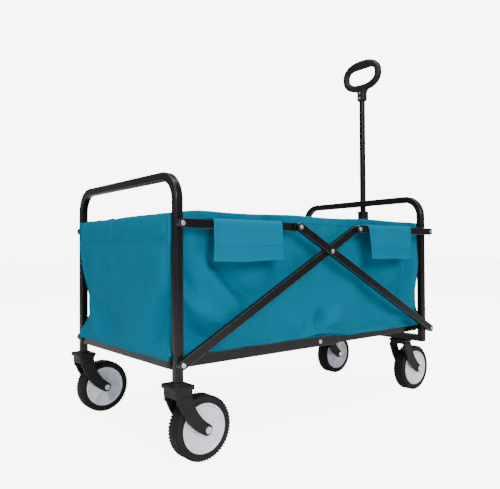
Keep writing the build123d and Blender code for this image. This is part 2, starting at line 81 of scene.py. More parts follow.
forward = Vector((
    math.cos(CAMERA_TURN) * math.cos(CAMERA_RISE),
    math.sin(CAMERA_TURN) * math.cos(CAMERA_RISE),
    math.sin(CAMERA_RISE),
))
level_right = forward.cross(Vector((0, 0, 1))).normalized()
level_up = level_right.cross(forward)
right = level_right * math.cos(CAMERA_ROLL) + level_up * math.sin(CAMERA_ROLL)
up = level_up * math.cos(CAMERA_ROLL) - level_right * math.sin(CAMERA_ROLL)
camera = bpy.data.objects.new("camera", bpy.data.cameras.new("camera"))
camera.data.lens = LENS
camera.data.sensor_width = 36
camera.data.sensor_fit = "HORIZONTAL"
facing_turn = Matrix((right, up, -forward)).transposed().to_4x4()
camera.matrix_world = Matrix.Translation(middle + CAMERA_AT) @ facing_turn
bpy.context.scene.collection.objects.link(camera)
bpy.context.scene.camera = camera


def mesh_of(name, shape):
    """Turns a finished bmesh into a mesh and frees it."""
    mesh = bpy.data.meshes.new(name)
    shape.to_mesh(mesh)
    shape.free()
    return mesh


def shader(name, color, roughness, metallic=0.0, specular=0.5):
    """A material with its node tree, its main shader and its output ready to wire."""
    material = bpy.data.materials.new(name)
    material.use_nodes = True
    nodes = material.node_tree.nodes
    main = nodes["Principled BSDF"]
    main.inputs["Base Color"].default_value = color
    main.inputs["Roughness"].default_value = roughness
    main.inputs["Metallic"].default_value = metallic
    main.inputs["Specular IOR Level"].default_value = specular
    return material, nodes, material.node_tree.links, main


def brighter_seen(tree, lit, seen, strength):
    """One strength for the light that is given off and another for what the camera sees."""
    path = tree.nodes.new("ShaderNodeLightPath")
    glow = tree.nodes.new("ShaderNodeMapRange")
    glow.inputs["To Min"].default_value = lit
    glow.inputs["To Max"].default_value = seen
    tree.links.new(path.outputs["Is Camera Ray"], glow.inputs["Value"])
    tree.links.new(glow.outputs["Result"], strength)


floor_material, nodes, links, main = shader("white sweep", FLOOR_WHITE, 0.9, specular=0.1)
main.inputs["Emission Color"].default_value = (1, 1, 1, 1)
brighter_seen(floor_material.node_tree, 0.0, FLOOR_GLOW, main.inputs["Emission Strength"])
shape = bmesh.new()
bmesh.ops.create_circle(shape, cap_ends=True, segments=96, radius=FLOOR_R, matrix=Matrix.Translation(middle))
studio_floor = bpy.data.objects.new("studio_floor", mesh_of("studio_floor", shape))
studio_floor.data.materials.append(floor_material)
bpy.context.scene.collection.objects.link(studio_floor)

world = bpy.data.worlds.new("studio")
world.use_nodes = True
backdrop = world.node_tree.nodes["Background"]
backdrop.inputs["Color"].default_value = (1, 1, 1, 1)
brighter_seen(world.node_tree, WORLD_LIGHT, WORLD_SEEN, backdrop.inputs["Strength"])
bpy.context.scene.world = world


def soft_box(name, at, size, power, tall=None):
    """Large soft light aimed at the middle of the wagon."""
    light = bpy.data.lights.new(name, "AREA")
    light.shape = "RECTANGLE"
    light.size = size
    light.size_y = tall or size
    light.energy = power
    lamp = bpy.data.objects.new(name, light)
    lamp.location = middle + Vector(at)
    aim = middle + Vector((0, 0, 0.4)) - lamp.location
    lamp.rotation_euler = aim.to_track_quat("-Z", "Y").to_euler()
    bpy.context.scene.collection.objects.link(lamp)


soft_box("overhead_box", (-0.3, -0.6, 3.2), 2.6, 95)
soft_box("right_box", (-0.9, -3.2, 1.9), 1.3, 84)
soft_box("rear_box", (-3.2, -0.9, 1.7), 1.6, 36)
soft_box("back_box", (2.8, 3.0, 2.0), 3.0, 90, 1.6)


# ---- Powder coated steel frame ----
# Square and flat steel tubes, bent and pressed at the ends, then dipped in satin black powder.
# The coat has a fine orange peel, and every edge is painted paler as a highlight where it would catch the
# lamps.
POWDER_BLACK = (0.0042, 0.004, 0.004, 1)
# Paler colour painted along every edge of the coat as a highlight.
POWDER_EDGE_HIGHLIGHT = (0.26, 0.25, 0.25, 1)
EDGE_WIDTH = 0.0015


def group_tree(name, inputs, outputs):
    """An empty shader node group with its sockets, and its input and output nodes."""
    tree = bpy.data.node_groups.new(name, "ShaderNodeTree")
    for label, kind, value in inputs:
        socket = tree.interface.new_socket(label, in_out="INPUT", socket_type=kind)
        socket.default_value = value
    for label, kind in outputs:
        tree.interface.new_socket(label, in_out="OUTPUT", socket_type=kind)
    return tree, tree.nodes.new("NodeGroupInput"), tree.nodes.new("NodeGroupOutput")


def math_node(nodes, links, operation, first, second, clamp=False):
    """A maths node fed by sockets or plain numbers."""
    node = nodes.new("ShaderNodeMath")
    node.operation = operation
    node.use_clamp = clamp
    for socket, value in zip(node.inputs, (first, second)):
        if isinstance(value, (int, float)):
            socket.default_value = value
        else:
            links.new(value, socket)
    return node.outputs[0]


# Mask of every edge, found by a bevel: it paints a paler highlight along the edges.
edge_highlight_group, entry, leave = group_tree(
    "painted edge highlights",
    [("Width", "NodeSocketFloat", EDGE_WIDTH), ("Gain", "NodeSocketFloat", 2.0)],
    [("Mask", "NodeSocketFloat")],
)
nodes, links = edge_highlight_group.nodes, edge_highlight_group.links
rounded = nodes.new("ShaderNodeBevel")
rounded.samples = 4
surface = nodes.new("ShaderNodeNewGeometry")
alike = nodes.new("ShaderNodeVectorMath")
alike.operation = "DOT_PRODUCT"
links.new(entry.outputs["Width"], rounded.inputs["Radius"])
links.new(rounded.outputs["Normal"], alike.inputs[0])
links.new(surface.outputs["True Normal"], alike.inputs[1])
apart = math_node(nodes, links, "SUBTRACT", 1.0, alike.outputs["Value"])
links.new(math_node(nodes, links, "MULTIPLY", apart, entry.outputs["Gain"], clamp=True), leave.inputs["Mask"])

grain_group, entry, leave = group_tree(
    "surface grain",
    [("Scale", "NodeSocketFloat", 900.0), ("Patch Scale", "NodeSocketFloat", 14.0),
     ("Low", "NodeSocketFloat", 0.3), ("High", "NodeSocketFloat", 0.5)],
    [("Height", "NodeSocketFloat"), ("Roughness", "NodeSocketFloat"), ("Patch", "NodeSocketFloat")],
)
nodes, links = grain_group.nodes, grain_group.links
place = nodes.new("ShaderNodeTexCoord")
fine = nodes.new("ShaderNodeTexNoise")
fine.inputs["Detail"].default_value = 3
patch = nodes.new("ShaderNodeTexNoise")
patch.inputs["Detail"].default_value = 4
spread = nodes.new("ShaderNodeMapRange")
spread.inputs["From Min"].default_value = 0.3
spread.inputs["From Max"].default_value = 0.7
for source, output, target, entrance in (
    (place, "Object", fine, "Vector"), (place, "Object", patch, "Vector"),
    (entry, "Scale", fine, "Scale"), (entry, "Patch Scale", patch, "Scale"),
    (entry, "Low", spread, "To Min"), (entry, "High", spread, "To Max"),
    (patch, "Fac", spread, "Value"), (fine, "Fac", leave, "Height"),
    (spread, "Result", leave, "Roughness"), (patch, "Fac", leave, "Patch"),
):
    links.new(source.outputs[output], target.inputs[entrance])


def placed_group(nodes, tree, **values):
    """A node group placed in a material with its own values."""
    node = nodes.new("ShaderNodeGroup")
    node.node_tree = tree
    for label, value in values.items():
        node.inputs[label.replace("_", " ")].default_value = value
    return node


def mixed(nodes, links, mask, low, high):
    """Two colours mixed by a mask."""
    node = nodes.new("ShaderNodeMix")
    node.data_type = "RGBA"
    links.new(mask, node.inputs["Factor"])
    for socket, value in ((node.inputs[6], low), (node.inputs[7], high)):
        if isinstance(value, tuple):
            socket.default_value = value
        else:
            links.new(value, socket)
    return node.outputs[2]


def bumped(nodes, links, main, height, strength, distance):
    """A bump from a height, wired to the shader's normal."""
    node = nodes.new("ShaderNodeBump")
    node.inputs["Strength"].default_value = strength
    node.inputs["Distance"].default_value = distance
    links.new(height, node.inputs["Height"])
    links.new(node.outputs["Normal"], main.inputs["Normal"])
    return node


def coated(name, color, edge_highlight_color, grain_scale, low, high, edge_highlight_gain, strength, distance):
    """A dark coat or moulding with grain, patchy gloss and a painted highlight along its edges."""
    material, nodes, links, main = shader(name, color, low, specular=0.3)
    grain = placed_group(nodes, grain_group, Scale=grain_scale, Low=low, High=high)
    edges = placed_group(nodes, edge_highlight_group, Width=EDGE_WIDTH, Gain=edge_highlight_gain)
    # Painted highlight: the base colour turns paler along the edges.
    links.new(mixed(nodes, links, edges.outputs["Mask"], color, edge_highlight_color), main.inputs["Base Color"])
    links.new(grain.outputs["Roughness"], main.inputs["Roughness"])
    bumped(nodes, links, main, grain.outputs["Height"], strength, distance)
    return material


powder_coat = coated("powder coat", POWDER_BLACK, POWDER_EDGE_HIGHLIGHT, 900, 0.17, 0.28, 2.2, 0.12, 0.0003)


def finish_node(node, material):
    """Gives a frame piece its finish."""
    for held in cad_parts[node].material_slots:
        held.material = material


sides = ("right", "left")
tube_nodes = [
    "rear_hoop", "rear_rim_bar", "front_hoop", "front_lower_tube", "caster_stem_tubes", "front_rim_bar",
    "handle_bracket", "rear_floor_tubes", "front_floor_tubes", "handle_outer_tube", "handle_inner_tube",
]
for side in sides:
    for part in ("inner_arm", "outer_arm", "rear_link", "front_link", "rear_rail", "front_rail"):
        tube_nodes.append(f"{side}_{part}")
for node in tube_nodes:
    finish_node(node, powder_coat)


# ---- Rivets, axle bolts and the handle's bolt ----
# Zinc plated steel, headed cold in a press, with a small dimple left by the tool.
# They pin the tubes to each other and hold the wheels in their forks.
ZINC = (0.74, 0.74, 0.75, 1)
zinc, nodes, links, main = shader("bright zinc", ZINC, 0.25, metallic=1.0)
grain = placed_group(nodes, grain_group, Scale=1500, Patch_Scale=120, Low=0.16, High=0.34)
links.new(grain.outputs["Roughness"], main.inputs["Roughness"])
bumped(nodes, links, main, grain.outputs["Height"], 0.1, 0.0002)
rivet_nodes = [
    "rear_axles", "rear_pivot_rivets", "front_pivot_rivets", "floor_hinge_rivets", "handle_pivot_bolt",
    "grip_rivets",
]
for side in sides:
    rivet_nodes += [f"{side}_outer_arm_rivets", f"{side}_front_link_rivet", f"{side}_caster_axle"]
for node in rivet_nodes:
    finish_node(node, zinc)


# ---- Moulded black parts ----
# The handle's collar and the bushes by the front posts are glass filled nylon, moulded with a fine
# spark texture. The forks, rail bosses and grip are of the same stuff.
NYLON_BLACK = (0.0055, 0.0053, 0.0057, 1)
# The nylon's edges are painted paler too, as a highlight.
NYLON_EDGE_HIGHLIGHT = (0.07, 0.07, 0.074, 1)
nylon = coated("black nylon", NYLON_BLACK, NYLON_EDGE_HIGHLIGHT, 1400, 0.42, 0.6, 1.2, 0.2, 0.0003)
for node in ("handle_collar", "front_spacers"):
    finish_node(node, nylon)


def new_piece(name, mesh, material=None):
    """A finished piece at the origin, with its material if one is given."""
    piece = bpy.data.objects.new(name, mesh)
    bpy.context.scene.collection.objects.link(piece)
    if material:
        mesh.materials.append(material)
    return piece


def centre_of(node):
    """Middle of a frame piece's box."""
    low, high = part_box(node)
    return (Vector(low) + Vector(high)) / 2


# ---- Tyres ----
# Solid rubber pressed on the hub, with round shoulders and a band of small lugs across the tread.
# The side wall has a moulded step where it meets the hub.
RUBBER = (0.0075, 0.0072, 0.0075, 1)
RUBBER_DUST = (0.03, 0.029, 0.028, 1)
LUG_COUNT = 58
LUG_LONG = 0.0046
LUG_PROUD = 0.0009
rubber, nodes, links, main = shader("tyre rubber", RUBBER, 0.62, specular=0.2)
grain = placed_group(nodes, grain_group, Scale=700, Patch_Scale=26, Low=0.5, High=0.75)
dusty = math_node(nodes, links, "MULTIPLY", grain.outputs["Patch"], 0.35)
links.new(mixed(nodes, links, dusty, RUBBER, RUBBER_DUST), main.inputs["Base Color"])
links.new(grain.outputs["Roughness"], main.inputs["Roughness"])
bumped(nodes, links, main, grain.outputs["Height"], 0.25, 0.0004)


def round_array_tree(name):
    """Geometry nodes that repeat the object's own mesh round the Y axis and join the copies."""
    tree = bpy.data.node_groups.new(name, "GeometryNodeTree")
    for label, kind, way in (
        ("Geometry", "NodeSocketGeometry", "INPUT"), ("Count", "NodeSocketInt", "INPUT"),
        ("Join Distance", "NodeSocketFloat", "INPUT"), ("Material", "NodeSocketMaterial", "INPUT"),
        ("Geometry", "NodeSocketGeometry", "OUTPUT"),
    ):
        tree.interface.new_socket(label, in_out=way, socket_type=kind)
    nodes, links = tree.nodes, tree.links
    entry, leave = nodes.new("NodeGroupInput"), nodes.new("NodeGroupOutput")
    points = nodes.new("GeometryNodePoints")
    index = nodes.new("GeometryNodeInputIndex")
    step = nodes.new("ShaderNodeMath")
    step.operation = "DIVIDE"
    step.inputs[0].default_value = 2 * math.pi
    turn = nodes.new("ShaderNodeMath")
    turn.operation = "MULTIPLY"
    angles = nodes.new("ShaderNodeCombineXYZ")
    spread = nodes.new("GeometryNodeInstanceOnPoints")
    real = nodes.new("GeometryNodeRealizeInstances")
    join = nodes.new("GeometryNodeMergeByDistance")
    coat = nodes.new("GeometryNodeSetMaterial")
    links.new(entry.outputs["Count"], points.inputs["Count"])
    links.new(entry.outputs["Count"], step.inputs[1])
    links.new(index.outputs[0], turn.inputs[0])
    links.new(step.outputs[0], turn.inputs[1])
    links.new(turn.outputs[0], angles.inputs["Y"])
    links.new(points.outputs[0], spread.inputs["Points"])
    links.new(entry.outputs["Geometry"], spread.inputs["Instance"])
    links.new(angles.outputs[0], spread.inputs["Rotation"])
    links.new(spread.outputs[0], real.inputs[0])
    links.new(real.outputs[0], join.inputs["Geometry"])
    links.new(entry.outputs["Join Distance"], join.inputs["Distance"])
    links.new(join.outputs[0], coat.inputs["Geometry"])
    links.new(entry.outputs["Material"], coat.inputs["Material"])
    links.new(coat.outputs[0], leave.inputs[0])
    return tree


def modifier_mesh(piece, tree, values):
    """Runs a geometry nodes tree on a piece and returns the result as one plain mesh."""
    held = piece.modifiers.new("build", "NODES")
    held.node_group = tree
    named = {item.name: item.identifier for item in tree.interface.items_tree if item.in_out == "INPUT"}
    for label, value in values.items():
        held[named[label]] = value
    bpy.context.view_layer.update()
    ready = piece.evaluated_get(bpy.context.evaluated_depsgraph_get())
    mesh = bpy.data.meshes.new_from_object(ready)
    bpy.data.objects.remove(piece)
    return mesh


round_array = round_array_tree("copies round the axle")


def ring_mesh(name, profile, segments):
    """A closed profile of (radius, along) points turned round the Y axis into a ring."""
    shape = bmesh.new()
    rings = []
    for k in range(segments):
        angle = 2 * math.pi * k / segments
        rings.append([shape.verts.new((r * math.cos(angle), y, r * math.sin(angle))) for r, y in profile])
    for k in range(segments):
        here, there = rings[k], rings[(k + 1) % segments]
        for i in range(len(profile)):
            j = (i + 1) % len(profile)
            shape.faces.new((here[i], here[j], there[j], there[i]))
    bmesh.ops.recalc_face_normals(shape, faces=shape.faces)
    for face in shape.faces:
        face.smooth = True
    return mesh_of(name, shape)


low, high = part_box("right_rear_tyre")
WHEEL_R = (high[2] - low[2]) / 2
TYRE_HALF = (high[1] - low[1]) / 2
low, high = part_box("right_rear_hub")
HUB_R = (high[2] - low[2]) / 2
shoulder = []
for k in range(7):
    angle = math.pi / 2 * k / 6
    shoulder.append((WHEEL_R - LUG_PROUD - 0.009 * (1 - math.sin(angle)),
                     TYRE_HALF - 0.0085 * (1 - math.cos(angle))))
wall = [
    (HUB_R - 0.0005, TYRE_HALF - 0.006), (HUB_R + 0.0006, TYRE_HALF - 0.0022),
    (HUB_R + 0.0016, TYRE_HALF - 0.0012), (HUB_R + 0.0035, TYRE_HALF - 0.001),
    (HUB_R + 0.0045, TYRE_HALF - 0.0016), (HUB_R + 0.0055, TYRE_HALF - 0.0008),
]
half_profile = wall + shoulder
tyre_profile = half_profile + [(r, -y) for r, y in reversed(half_profile)]
tyre_body = ring_mesh("tyre_body", tyre_profile, 128)

lug = bmesh.new()
for row, (across, length) in enumerate(((-0.0135, 0.0062), (0.0, 0.0085), (0.0135, 0.0062))):
    lead = (LUG_LONG / 2 if row == 1 else 0) / WHEEL_R
    base = bmesh.ops.create_cube(lug, size=1)["verts"]
    bmesh.ops.scale(lug, verts=base, vec=(0.003, length, LUG_LONG))
    for vert in base:
        if vert.co.x > 0:
            vert.co.y *= 0.86
            vert.co.z *= 0.8
        vert.co += Vector((WHEEL_R - 0.0015, across, 0))
    bmesh.ops.rotate(lug, verts=base, cent=(0, 0, 0), matrix=Matrix.Rotation(lead * 1.6, 3, "Y"))
lug_mesh = mesh_of("tread_lugs", lug)
lug_band = modifier_mesh(
    new_piece("tread_lugs", lug_mesh), round_array,
    {"Count": LUG_COUNT, "Join Distance": 0.0, "Material": rubber},
)

# ---- Hubs ----
# One glossy pale grey moulding: a rim lip, a fan of twelve tilted webs and a boss round the axle.
# The webs meet in ridges and valleys that lead from the boss out to the rim.
HUB_GREY = (0.88, 0.90, 0.98, 1)
HUB_SHADE = (0.66, 0.68, 0.76, 1)
WEB_PAIRS = 6
LIP_WIDE = 0.0038
hub_gloss, nodes, links, main = shader("pale hub plastic", HUB_GREY, 0.3)
main.inputs["Coat Weight"].default_value = 0.5
main.inputs["Coat Roughness"].default_value = 0.15
grain = placed_group(nodes, grain_group, Scale=300, Patch_Scale=30, Low=0.16, High=0.26)
shaded = math_node(nodes, links, "MULTIPLY", grain.outputs["Patch"], 0.4)
links.new(mixed(nodes, links, shaded, HUB_GREY, HUB_SHADE), main.inputs["Base Color"])
links.new(grain.outputs["Roughness"], main.inputs["Roughness"])
bumped(nodes, links, main, grain.outputs["Height"], 0.05, 0.0002)

LIP_FACE = TYRE_HALF - 0.0012
WEB_FACE = TYRE_HALF - 0.0032
WEB_SWING = 0.0085
BOSS_R = 0.015
BORE_R = 0.0053


def hub_side(share):
    """Profile of one hub side from rim to bore; share runs 0 at a valley to 1 at a ridge."""
    web = WEB_FACE - WEB_SWING * (1 - share)
    inner = WEB_FACE - WEB_SWING * 0.25 * (1 - share)
    return [
        (HUB_R, LIP_FACE - 0.0012), (HUB_R - 0.0006, LIP_FACE - 0.0002), (HUB_R - 0.0014, LIP_FACE),
        (HUB_R - LIP_WIDE + 0.0008, LIP_FACE), (HUB_R - LIP_WIDE, LIP_FACE - 0.0006),
        (HUB_R - LIP_WIDE - 0.0006, web + 0.0006), (HUB_R - LIP_WIDE - 0.0016, web),
        ((HUB_R + BOSS_R) / 2, (web + inner) / 2),
        (BOSS_R + 0.0022, inner), (BOSS_R + 0.0006, inner + 0.0008), (BOSS_R, inner + 0.0018),
        (BOSS_R - 0.0004, TYRE_HALF + 0.0014), (BOSS_R - 0.0012, TYRE_HALF + 0.0019),
        (BORE_R, TYRE_HALF + 0.0019),
    ]


pair = bmesh.new()
steps = 16
columns = []
for k in range(steps + 1):
    angle = 2 * math.pi / WEB_PAIRS * k / steps
    share = abs(1 - 2 * k / steps)
    front = hub_side(share)
    loop = front + [(r, -y) for r, y in reversed(front)]
    columns.append([pair.verts.new((r * math.cos(angle), y, r * math.sin(angle))) for r, y in loop])
for here, there in zip(columns, columns[1:]):
    for i in range(len(here)):
        j = (i + 1) % len(here)
        pair.faces.new((here[i], here[j], there[j], there[i]))
bmesh.ops.recalc_face_normals(pair, faces=pair.faces)
outward = sum((face.normal.dot(face.calc_center_median()) for face in pair.faces))
if outward < 0:
    bmesh.ops.reverse_faces(pair, faces=pair.faces)
pair_mesh = mesh_of("web_pair", pair)
fan = modifier_mesh(
    new_piece("web_pair", pair_mesh), round_array,
    {"Count": WEB_PAIRS, "Join Distance": 0.00002, "Material": hub_gloss},
)
fan.shade_smooth()
fan.set_sharp_from_angle(angle=math.radians(9))


def placed_copy(name, meshes, at, turn=0.0):
    """One mesh joined from several, turned about Y and moved to its place."""
    shape = bmesh.new()
    for mesh in meshes:
        shape.from_mesh(mesh)
    place = Matrix.Translation(at) @ Matrix.Rotation(turn, 4, "Y")
    bmesh.ops.transform(shape, matrix=place, verts=shape.verts)
    return mesh_of(name, shape)


for number, wheel in enumerate(("right_rear", "left_rear", "right_front", "left_front")):
    hub_at = centre_of(f"{wheel}_tyre")
    body = wheel + "_wheel"
    turn = 0.35 + 0.9 * number
    tyre = new_piece(f"{wheel}_tyre_rubber", placed_copy("tyre", [tyre_body, lug_band], hub_at, turn), rubber)
    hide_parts(f"{wheel}_tyre")
    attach(tyre, body)
    fan_mesh = fan.copy()
    fan_mesh.transform(Matrix.Translation(hub_at) @ Matrix.Rotation(turn, 4, "Y"))
    hub = new_piece(f"{wheel}_hub_fan", fan_mesh)
    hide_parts(f"{wheel}_hub")
    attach(hub, body)

# ---- Forks ----
# Moulded in one: a flanged cap over the wheel, two swept arms and an eye for the axle bolt. A rear
# fork plugs into its post through a collar; a front one turns on a stem under the lower tube.
FORK_VOXEL = 0.0013
FLANGE_TALL = 0.0075
ARM_HALF = 0.0036
EYE_R = 0.0130
EYE_BOSS_R = EYE_R - 0.0022
EYE_SHANK_R = 0.009
EYE_LEAD = 62
STEM_R = 0.0055
COLLAR_SIZE = 0.029
COLLAR_FOOT = 0.036
BORDER_WIDE = 0.0026
BORDER_TALL = 0.003


def slab(shape, at, size, corner, steps=4):
    """Upright block with rounded corners, as part of a moulding."""
    half_x, half_y, half_z = (value / 2 for value in size)
    outline = []
    for quarter in range(4):
        middle_x = (half_x - corner) * (1 if quarter in (0, 3) else -1)
        middle_y = (half_y - corner) * (1 if quarter in (0, 1) else -1)
        for k in range(steps + 1):
            turn = math.pi / 2 * (quarter + k / steps)
            outline.append((middle_x + corner * math.cos(turn), middle_y + corner * math.sin(turn)))
    rings = [[shape.verts.new((at[0] + a, at[1] + b, at[2] + z)) for a, b in outline]
             for z in (-half_z, half_z)]
    shape.faces.new(rings[0][::-1])
    shape.faces.new(rings[1])
    for i in range(len(outline)):
        j = (i + 1) % len(outline)
        shape.faces.new((rings[0][i], rings[0][j], rings[1][j], rings[1][i]))


def arc_points(start, through, end, count):
    """Points on the arc through three points of a plane."""
    (ax, ay), (bx, by), (cx, cy) = start, through, end
    d = 2 * (ax * (by - cy) + bx * (cy - ay) + cx * (ay - by))
    a_far, b_far, c_far = ax ** 2 + ay ** 2, bx ** 2 + by ** 2, cx ** 2 + cy ** 2
    ux = (a_far * (by - cy) + b_far * (cy - ay) + c_far * (ay - by)) / d
    uy = (a_far * (cx - bx) + b_far * (ax - cx) + c_far * (bx - ax)) / d
    radius = math.hypot(ax - ux, ay - uy)
    angles = [math.atan2(y - uy, x - ux) for x, y in (start, through, end)]
    span = (angles[2] - angles[0] + math.pi) % (2 * math.pi) - math.pi
    turns = [angles[0] + span * k / count for k in range(count + 1)]
    return [(ux + radius * math.cos(turn), uy + radius * math.sin(turn)) for turn in turns]


def prism(shape, outline, at, y_low, y_high):
    """An outline in the XZ plane drawn out along Y, as part of a moulding."""
    rings = [[shape.verts.new((at[0] + a, y, at[2] + c)) for a, c in outline] for y in (y_low, y_high)]
    shape.faces.new(rings[0])
    shape.faces.new(rings[1][::-1])
    for i in range(len(outline)):
        j = (i + 1) % len(outline)
        shape.faces.new((rings[0][j], rings[0][i], rings[1][i], rings[1][j]))


def moulded(name, shape, voxel, rounds):
    """Fuses the parts of a moulding into one skin with eased edges."""
    bmesh.ops.recalc_face_normals(shape, faces=shape.faces)
    blank = new_piece(name + "_blank", mesh_of(name, shape))
    fused = blank.modifiers.new("fuse", "REMESH")
    fused.mode = "VOXEL"
    fused.voxel_size = voxel
    eased = blank.modifiers.new("ease", "SMOOTH")
    eased.factor = 0.5
    eased.iterations = rounds
    bpy.context.view_layer.update()
    skin = bpy.data.meshes.new_from_object(blank.evaluated_get(bpy.context.evaluated_depsgraph_get()))
    bpy.data.objects.remove(blank)
    skin.shade_smooth()
    skin.materials.clear()
    return skin


def circle_points(radius, count=40, at=(0, 0)):
    """Points round a circle."""
    turns = [2 * math.pi * k / count for k in range(count)]
    return [(at[0] + radius * math.cos(turn), at[1] + radius * math.sin(turn)) for turn in turns]


def fork_skin(name, post_x, axle, low, high, crown_long, rear):
    """One fork moulding; low and high are the heights of the underside and top of its crown."""
    shape = bmesh.new()
    y = axle.y
    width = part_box("right_rear_fork")[1][1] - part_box("right_rear_fork")[0][1]
    arm_y = width / 2 - ARM_HALF
    slab(shape, (post_x, y, high - FLANGE_TALL / 2), (crown_long, width + 0.002, FLANGE_TALL), 0.006)
    core = (crown_long - 0.009, width - 0.003, high - low - 0.001)
    slab(shape, (post_x + 0.0005, y, (low + high) / 2), core, 0.005)
    if rear:
        for out in (-1, 1):
            side_at = (post_x, y + out * (width / 2 - 0.0012), high + 0.0008)
            slab(shape, side_at, (crown_long - 0.004, BORDER_WIDE, BORDER_TALL), 0.0012)
            end_at = (post_x + out * (crown_long / 2 - 0.0024), y, high + 0.0008)
            slab(shape, end_at, (BORDER_WIDE, width - 0.001, BORDER_TALL), 0.0012)
        slab(shape, (post_x, y, high + 0.0028), (COLLAR_SIZE, COLLAR_SIZE, 0.006), 0.006)
        slab(shape, (post_x, y, high + 0.001), (COLLAR_FOOT, COLLAR_FOOT, BORDER_TALL), 0.007)
    top = low + 0.004 - axle.z
    trail = axle.x - post_x
    lead = math.radians(EYE_LEAD)
    front_end = (trail + EYE_R * math.cos(lead), EYE_R * math.sin(lead))
    back_end = (trail - EYE_R * math.cos(lead), -EYE_R * math.sin(lead))
    outline = arc_points((0.018, top), (0.028, 0.64 * top), front_end, 12)
    outline += arc_points(back_end, (0.006, 0.33 * top), (-0.017, top), 12)
    for out in (-1, 1):
        inner, outer = sorted((y + out * (arm_y - ARM_HALF), y + out * (arm_y + ARM_HALF)))
        prism(shape, outline, (post_x, 0, axle.z), inner, outer)
        prism(shape, circle_points(EYE_R, at=(trail, 0)), (post_x, 0, axle.z), inner, outer)
        face = y + out * (arm_y + ARM_HALF)
        boss = sorted((face, face + out * 0.0011))
        prism(shape, circle_points(EYE_BOSS_R, at=(trail, 0)), (post_x, 0, axle.z), boss[0], boss[1])
        shank = sorted((y + out * (arm_y - ARM_HALF), y + out * (arm_y - ARM_HALF - 0.0008)))
        root_at = (post_x + 0.001, y + out * (arm_y - 0.001), low - 0.004)
        slab(shape, root_at, (0.037, 2 * ARM_HALF + 0.0015, 0.014), 0.003)
        prism(shape, circle_points(EYE_SHANK_R, at=(trail, 0)), (post_x, 0, axle.z), shank[0], shank[1])
    return moulded(name, shape, FORK_VOXEL, 4)


crown_tall = {"rear": 0.026, "front": 0.016}
for side in sides:
    for end, node, body, post_x, crown_long in (
        ("rear", f"{side}_rear_fork", "rear_frame", centre_of("rear_rim_bar").x, 0.050),
        ("front", f"{side}_caster_fork", f"{side}_caster", centre_of("front_rim_bar").x, 0.042),
    ):
        axle = centre_of(f"{side}_{end}_tyre")
        if end == "rear":
            crown_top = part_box("rear_hoop")[0][2]
        else:
            crown_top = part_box("front_lower_tube")[0][2] - 0.0004
        crown_low = crown_top - crown_tall[end]
        skin = fork_skin(f"{side}_{end}_fork", post_x, axle, crown_low, crown_top, crown_long, end == "rear")
        fork = new_piece(f"{side}_{end}_fork_moulding", skin, nylon)
        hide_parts(node)
        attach(fork, body)
        if end == "front":
            stem = bmesh.new()
            stem_low, stem_high = crown_top - 0.001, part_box(node)[1][2]
            bmesh.ops.create_cone(stem, cap_ends=True, segments=32, radius1=STEM_R, radius2=STEM_R,
                                  depth=stem_high - stem_low,
                                  matrix=Matrix.Translation((post_x, axle.y, (stem_low + stem_high) / 2)))
            stem_piece = new_piece(f"{side}_caster_stem", mesh_of(f"{side}_stem", stem), zinc)
            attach(stem_piece, body)

# ---- Rail end bosses ----
# Black nylon bosses pressed over the rear ends of the floor rails. They turn on the lower pivots
# with their rails, and keep the tube off the post.
BOSS_END_R = 0.0152
rear_post = centre_of("rear_rim_bar")
pivot_z = centre_of("right_rear_rail").z
for side in sides:
    low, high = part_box(f"{side}_rear_rail")
    shape = bmesh.new()
    prism(shape, circle_points(BOSS_END_R, 48), (rear_post.x, 0, pivot_z), low[1] + 0.0003, high[1] - 0.0003)
    bmesh.ops.recalc_face_normals(shape, faces=shape.faces)
    rims = [edge for edge in shape.edges if abs(edge.verts[0].co.y - edge.verts[1].co.y) < 1e-6]
    bmesh.ops.bevel(shape, geom=rims, offset=0.0026, segments=3, affect="EDGES")
    for face in shape.faces:
        face.smooth = True
    boss = new_piece(f"{side}_rail_boss", mesh_of(f"{side}_rail_boss", shape), nylon)
    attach(boss, "rear_floor")

# ---- Tub walls ----
# Two side walls and two end walls of coated 600 denier polyester, cut flat, hemmed and sewn at
# the corners. Ends hang on sleeves over the rim bars; the seams draw the corners in as they hang.
TEAL = (0.0, 0.128, 0.215, 1)
TEAL_FADED = (0.0, 0.158, 0.255, 1)
THREAD_TEAL = (0.002, 0.085, 0.135, 1)
THREAD_PITCH = 0.0011
CLOTH_THICK = 0.0014
HEM_RISE = 0.0009
TOP_HEM = 0.019
LOW_HEM = 0.013
REAR_PULL = (0.020, 0.027)
FRONT_PULL = (0.003, 0.020)
PULL_REACH = 0.055
SLEEVE_STITCH = 0.0285
STITCH_PITCH = 0.0052
STITCH_SINK = 0.0007
SIM_FRAMES = 28

weave_group, entry, leave = group_tree(
    "oxford weave",
    [("Pitch", "NodeSocketFloat", THREAD_PITCH)],
    [("Height", "NodeSocketFloat"), ("Cloud", "NodeSocketFloat"), ("Slub", "NodeSocketFloat")],
)
nodes, links = weave_group.nodes, weave_group.links
flat_place = nodes.new("ShaderNodeUVMap")
flat_place.uv_map = "cloth"
parted = nodes.new("ShaderNodeSeparateXYZ")
links.new(flat_place.outputs["UV"], parted.inputs[0])
density = math_node(nodes, links, "DIVIDE", 2 * math.pi, entry.outputs["Pitch"])
warp = math_node(nodes, links, "SINE", math_node(nodes, links, "MULTIPLY", parted.outputs["X"], density), 0)
weft = math_node(nodes, links, "SINE", math_node(nodes, links, "MULTIPLY", parted.outputs["Y"], density), 0)
links.new(math_node(nodes, links, "MULTIPLY", warp, weft), leave.inputs["Height"])
cloud = nodes.new("ShaderNodeTexNoise")
cloud.inputs["Scale"].default_value = 9
cloud.inputs["Detail"].default_value = 5
links.new(flat_place.outputs["UV"], cloud.inputs["Vector"])
links.new(cloud.outputs["Fac"], leave.inputs["Cloud"])
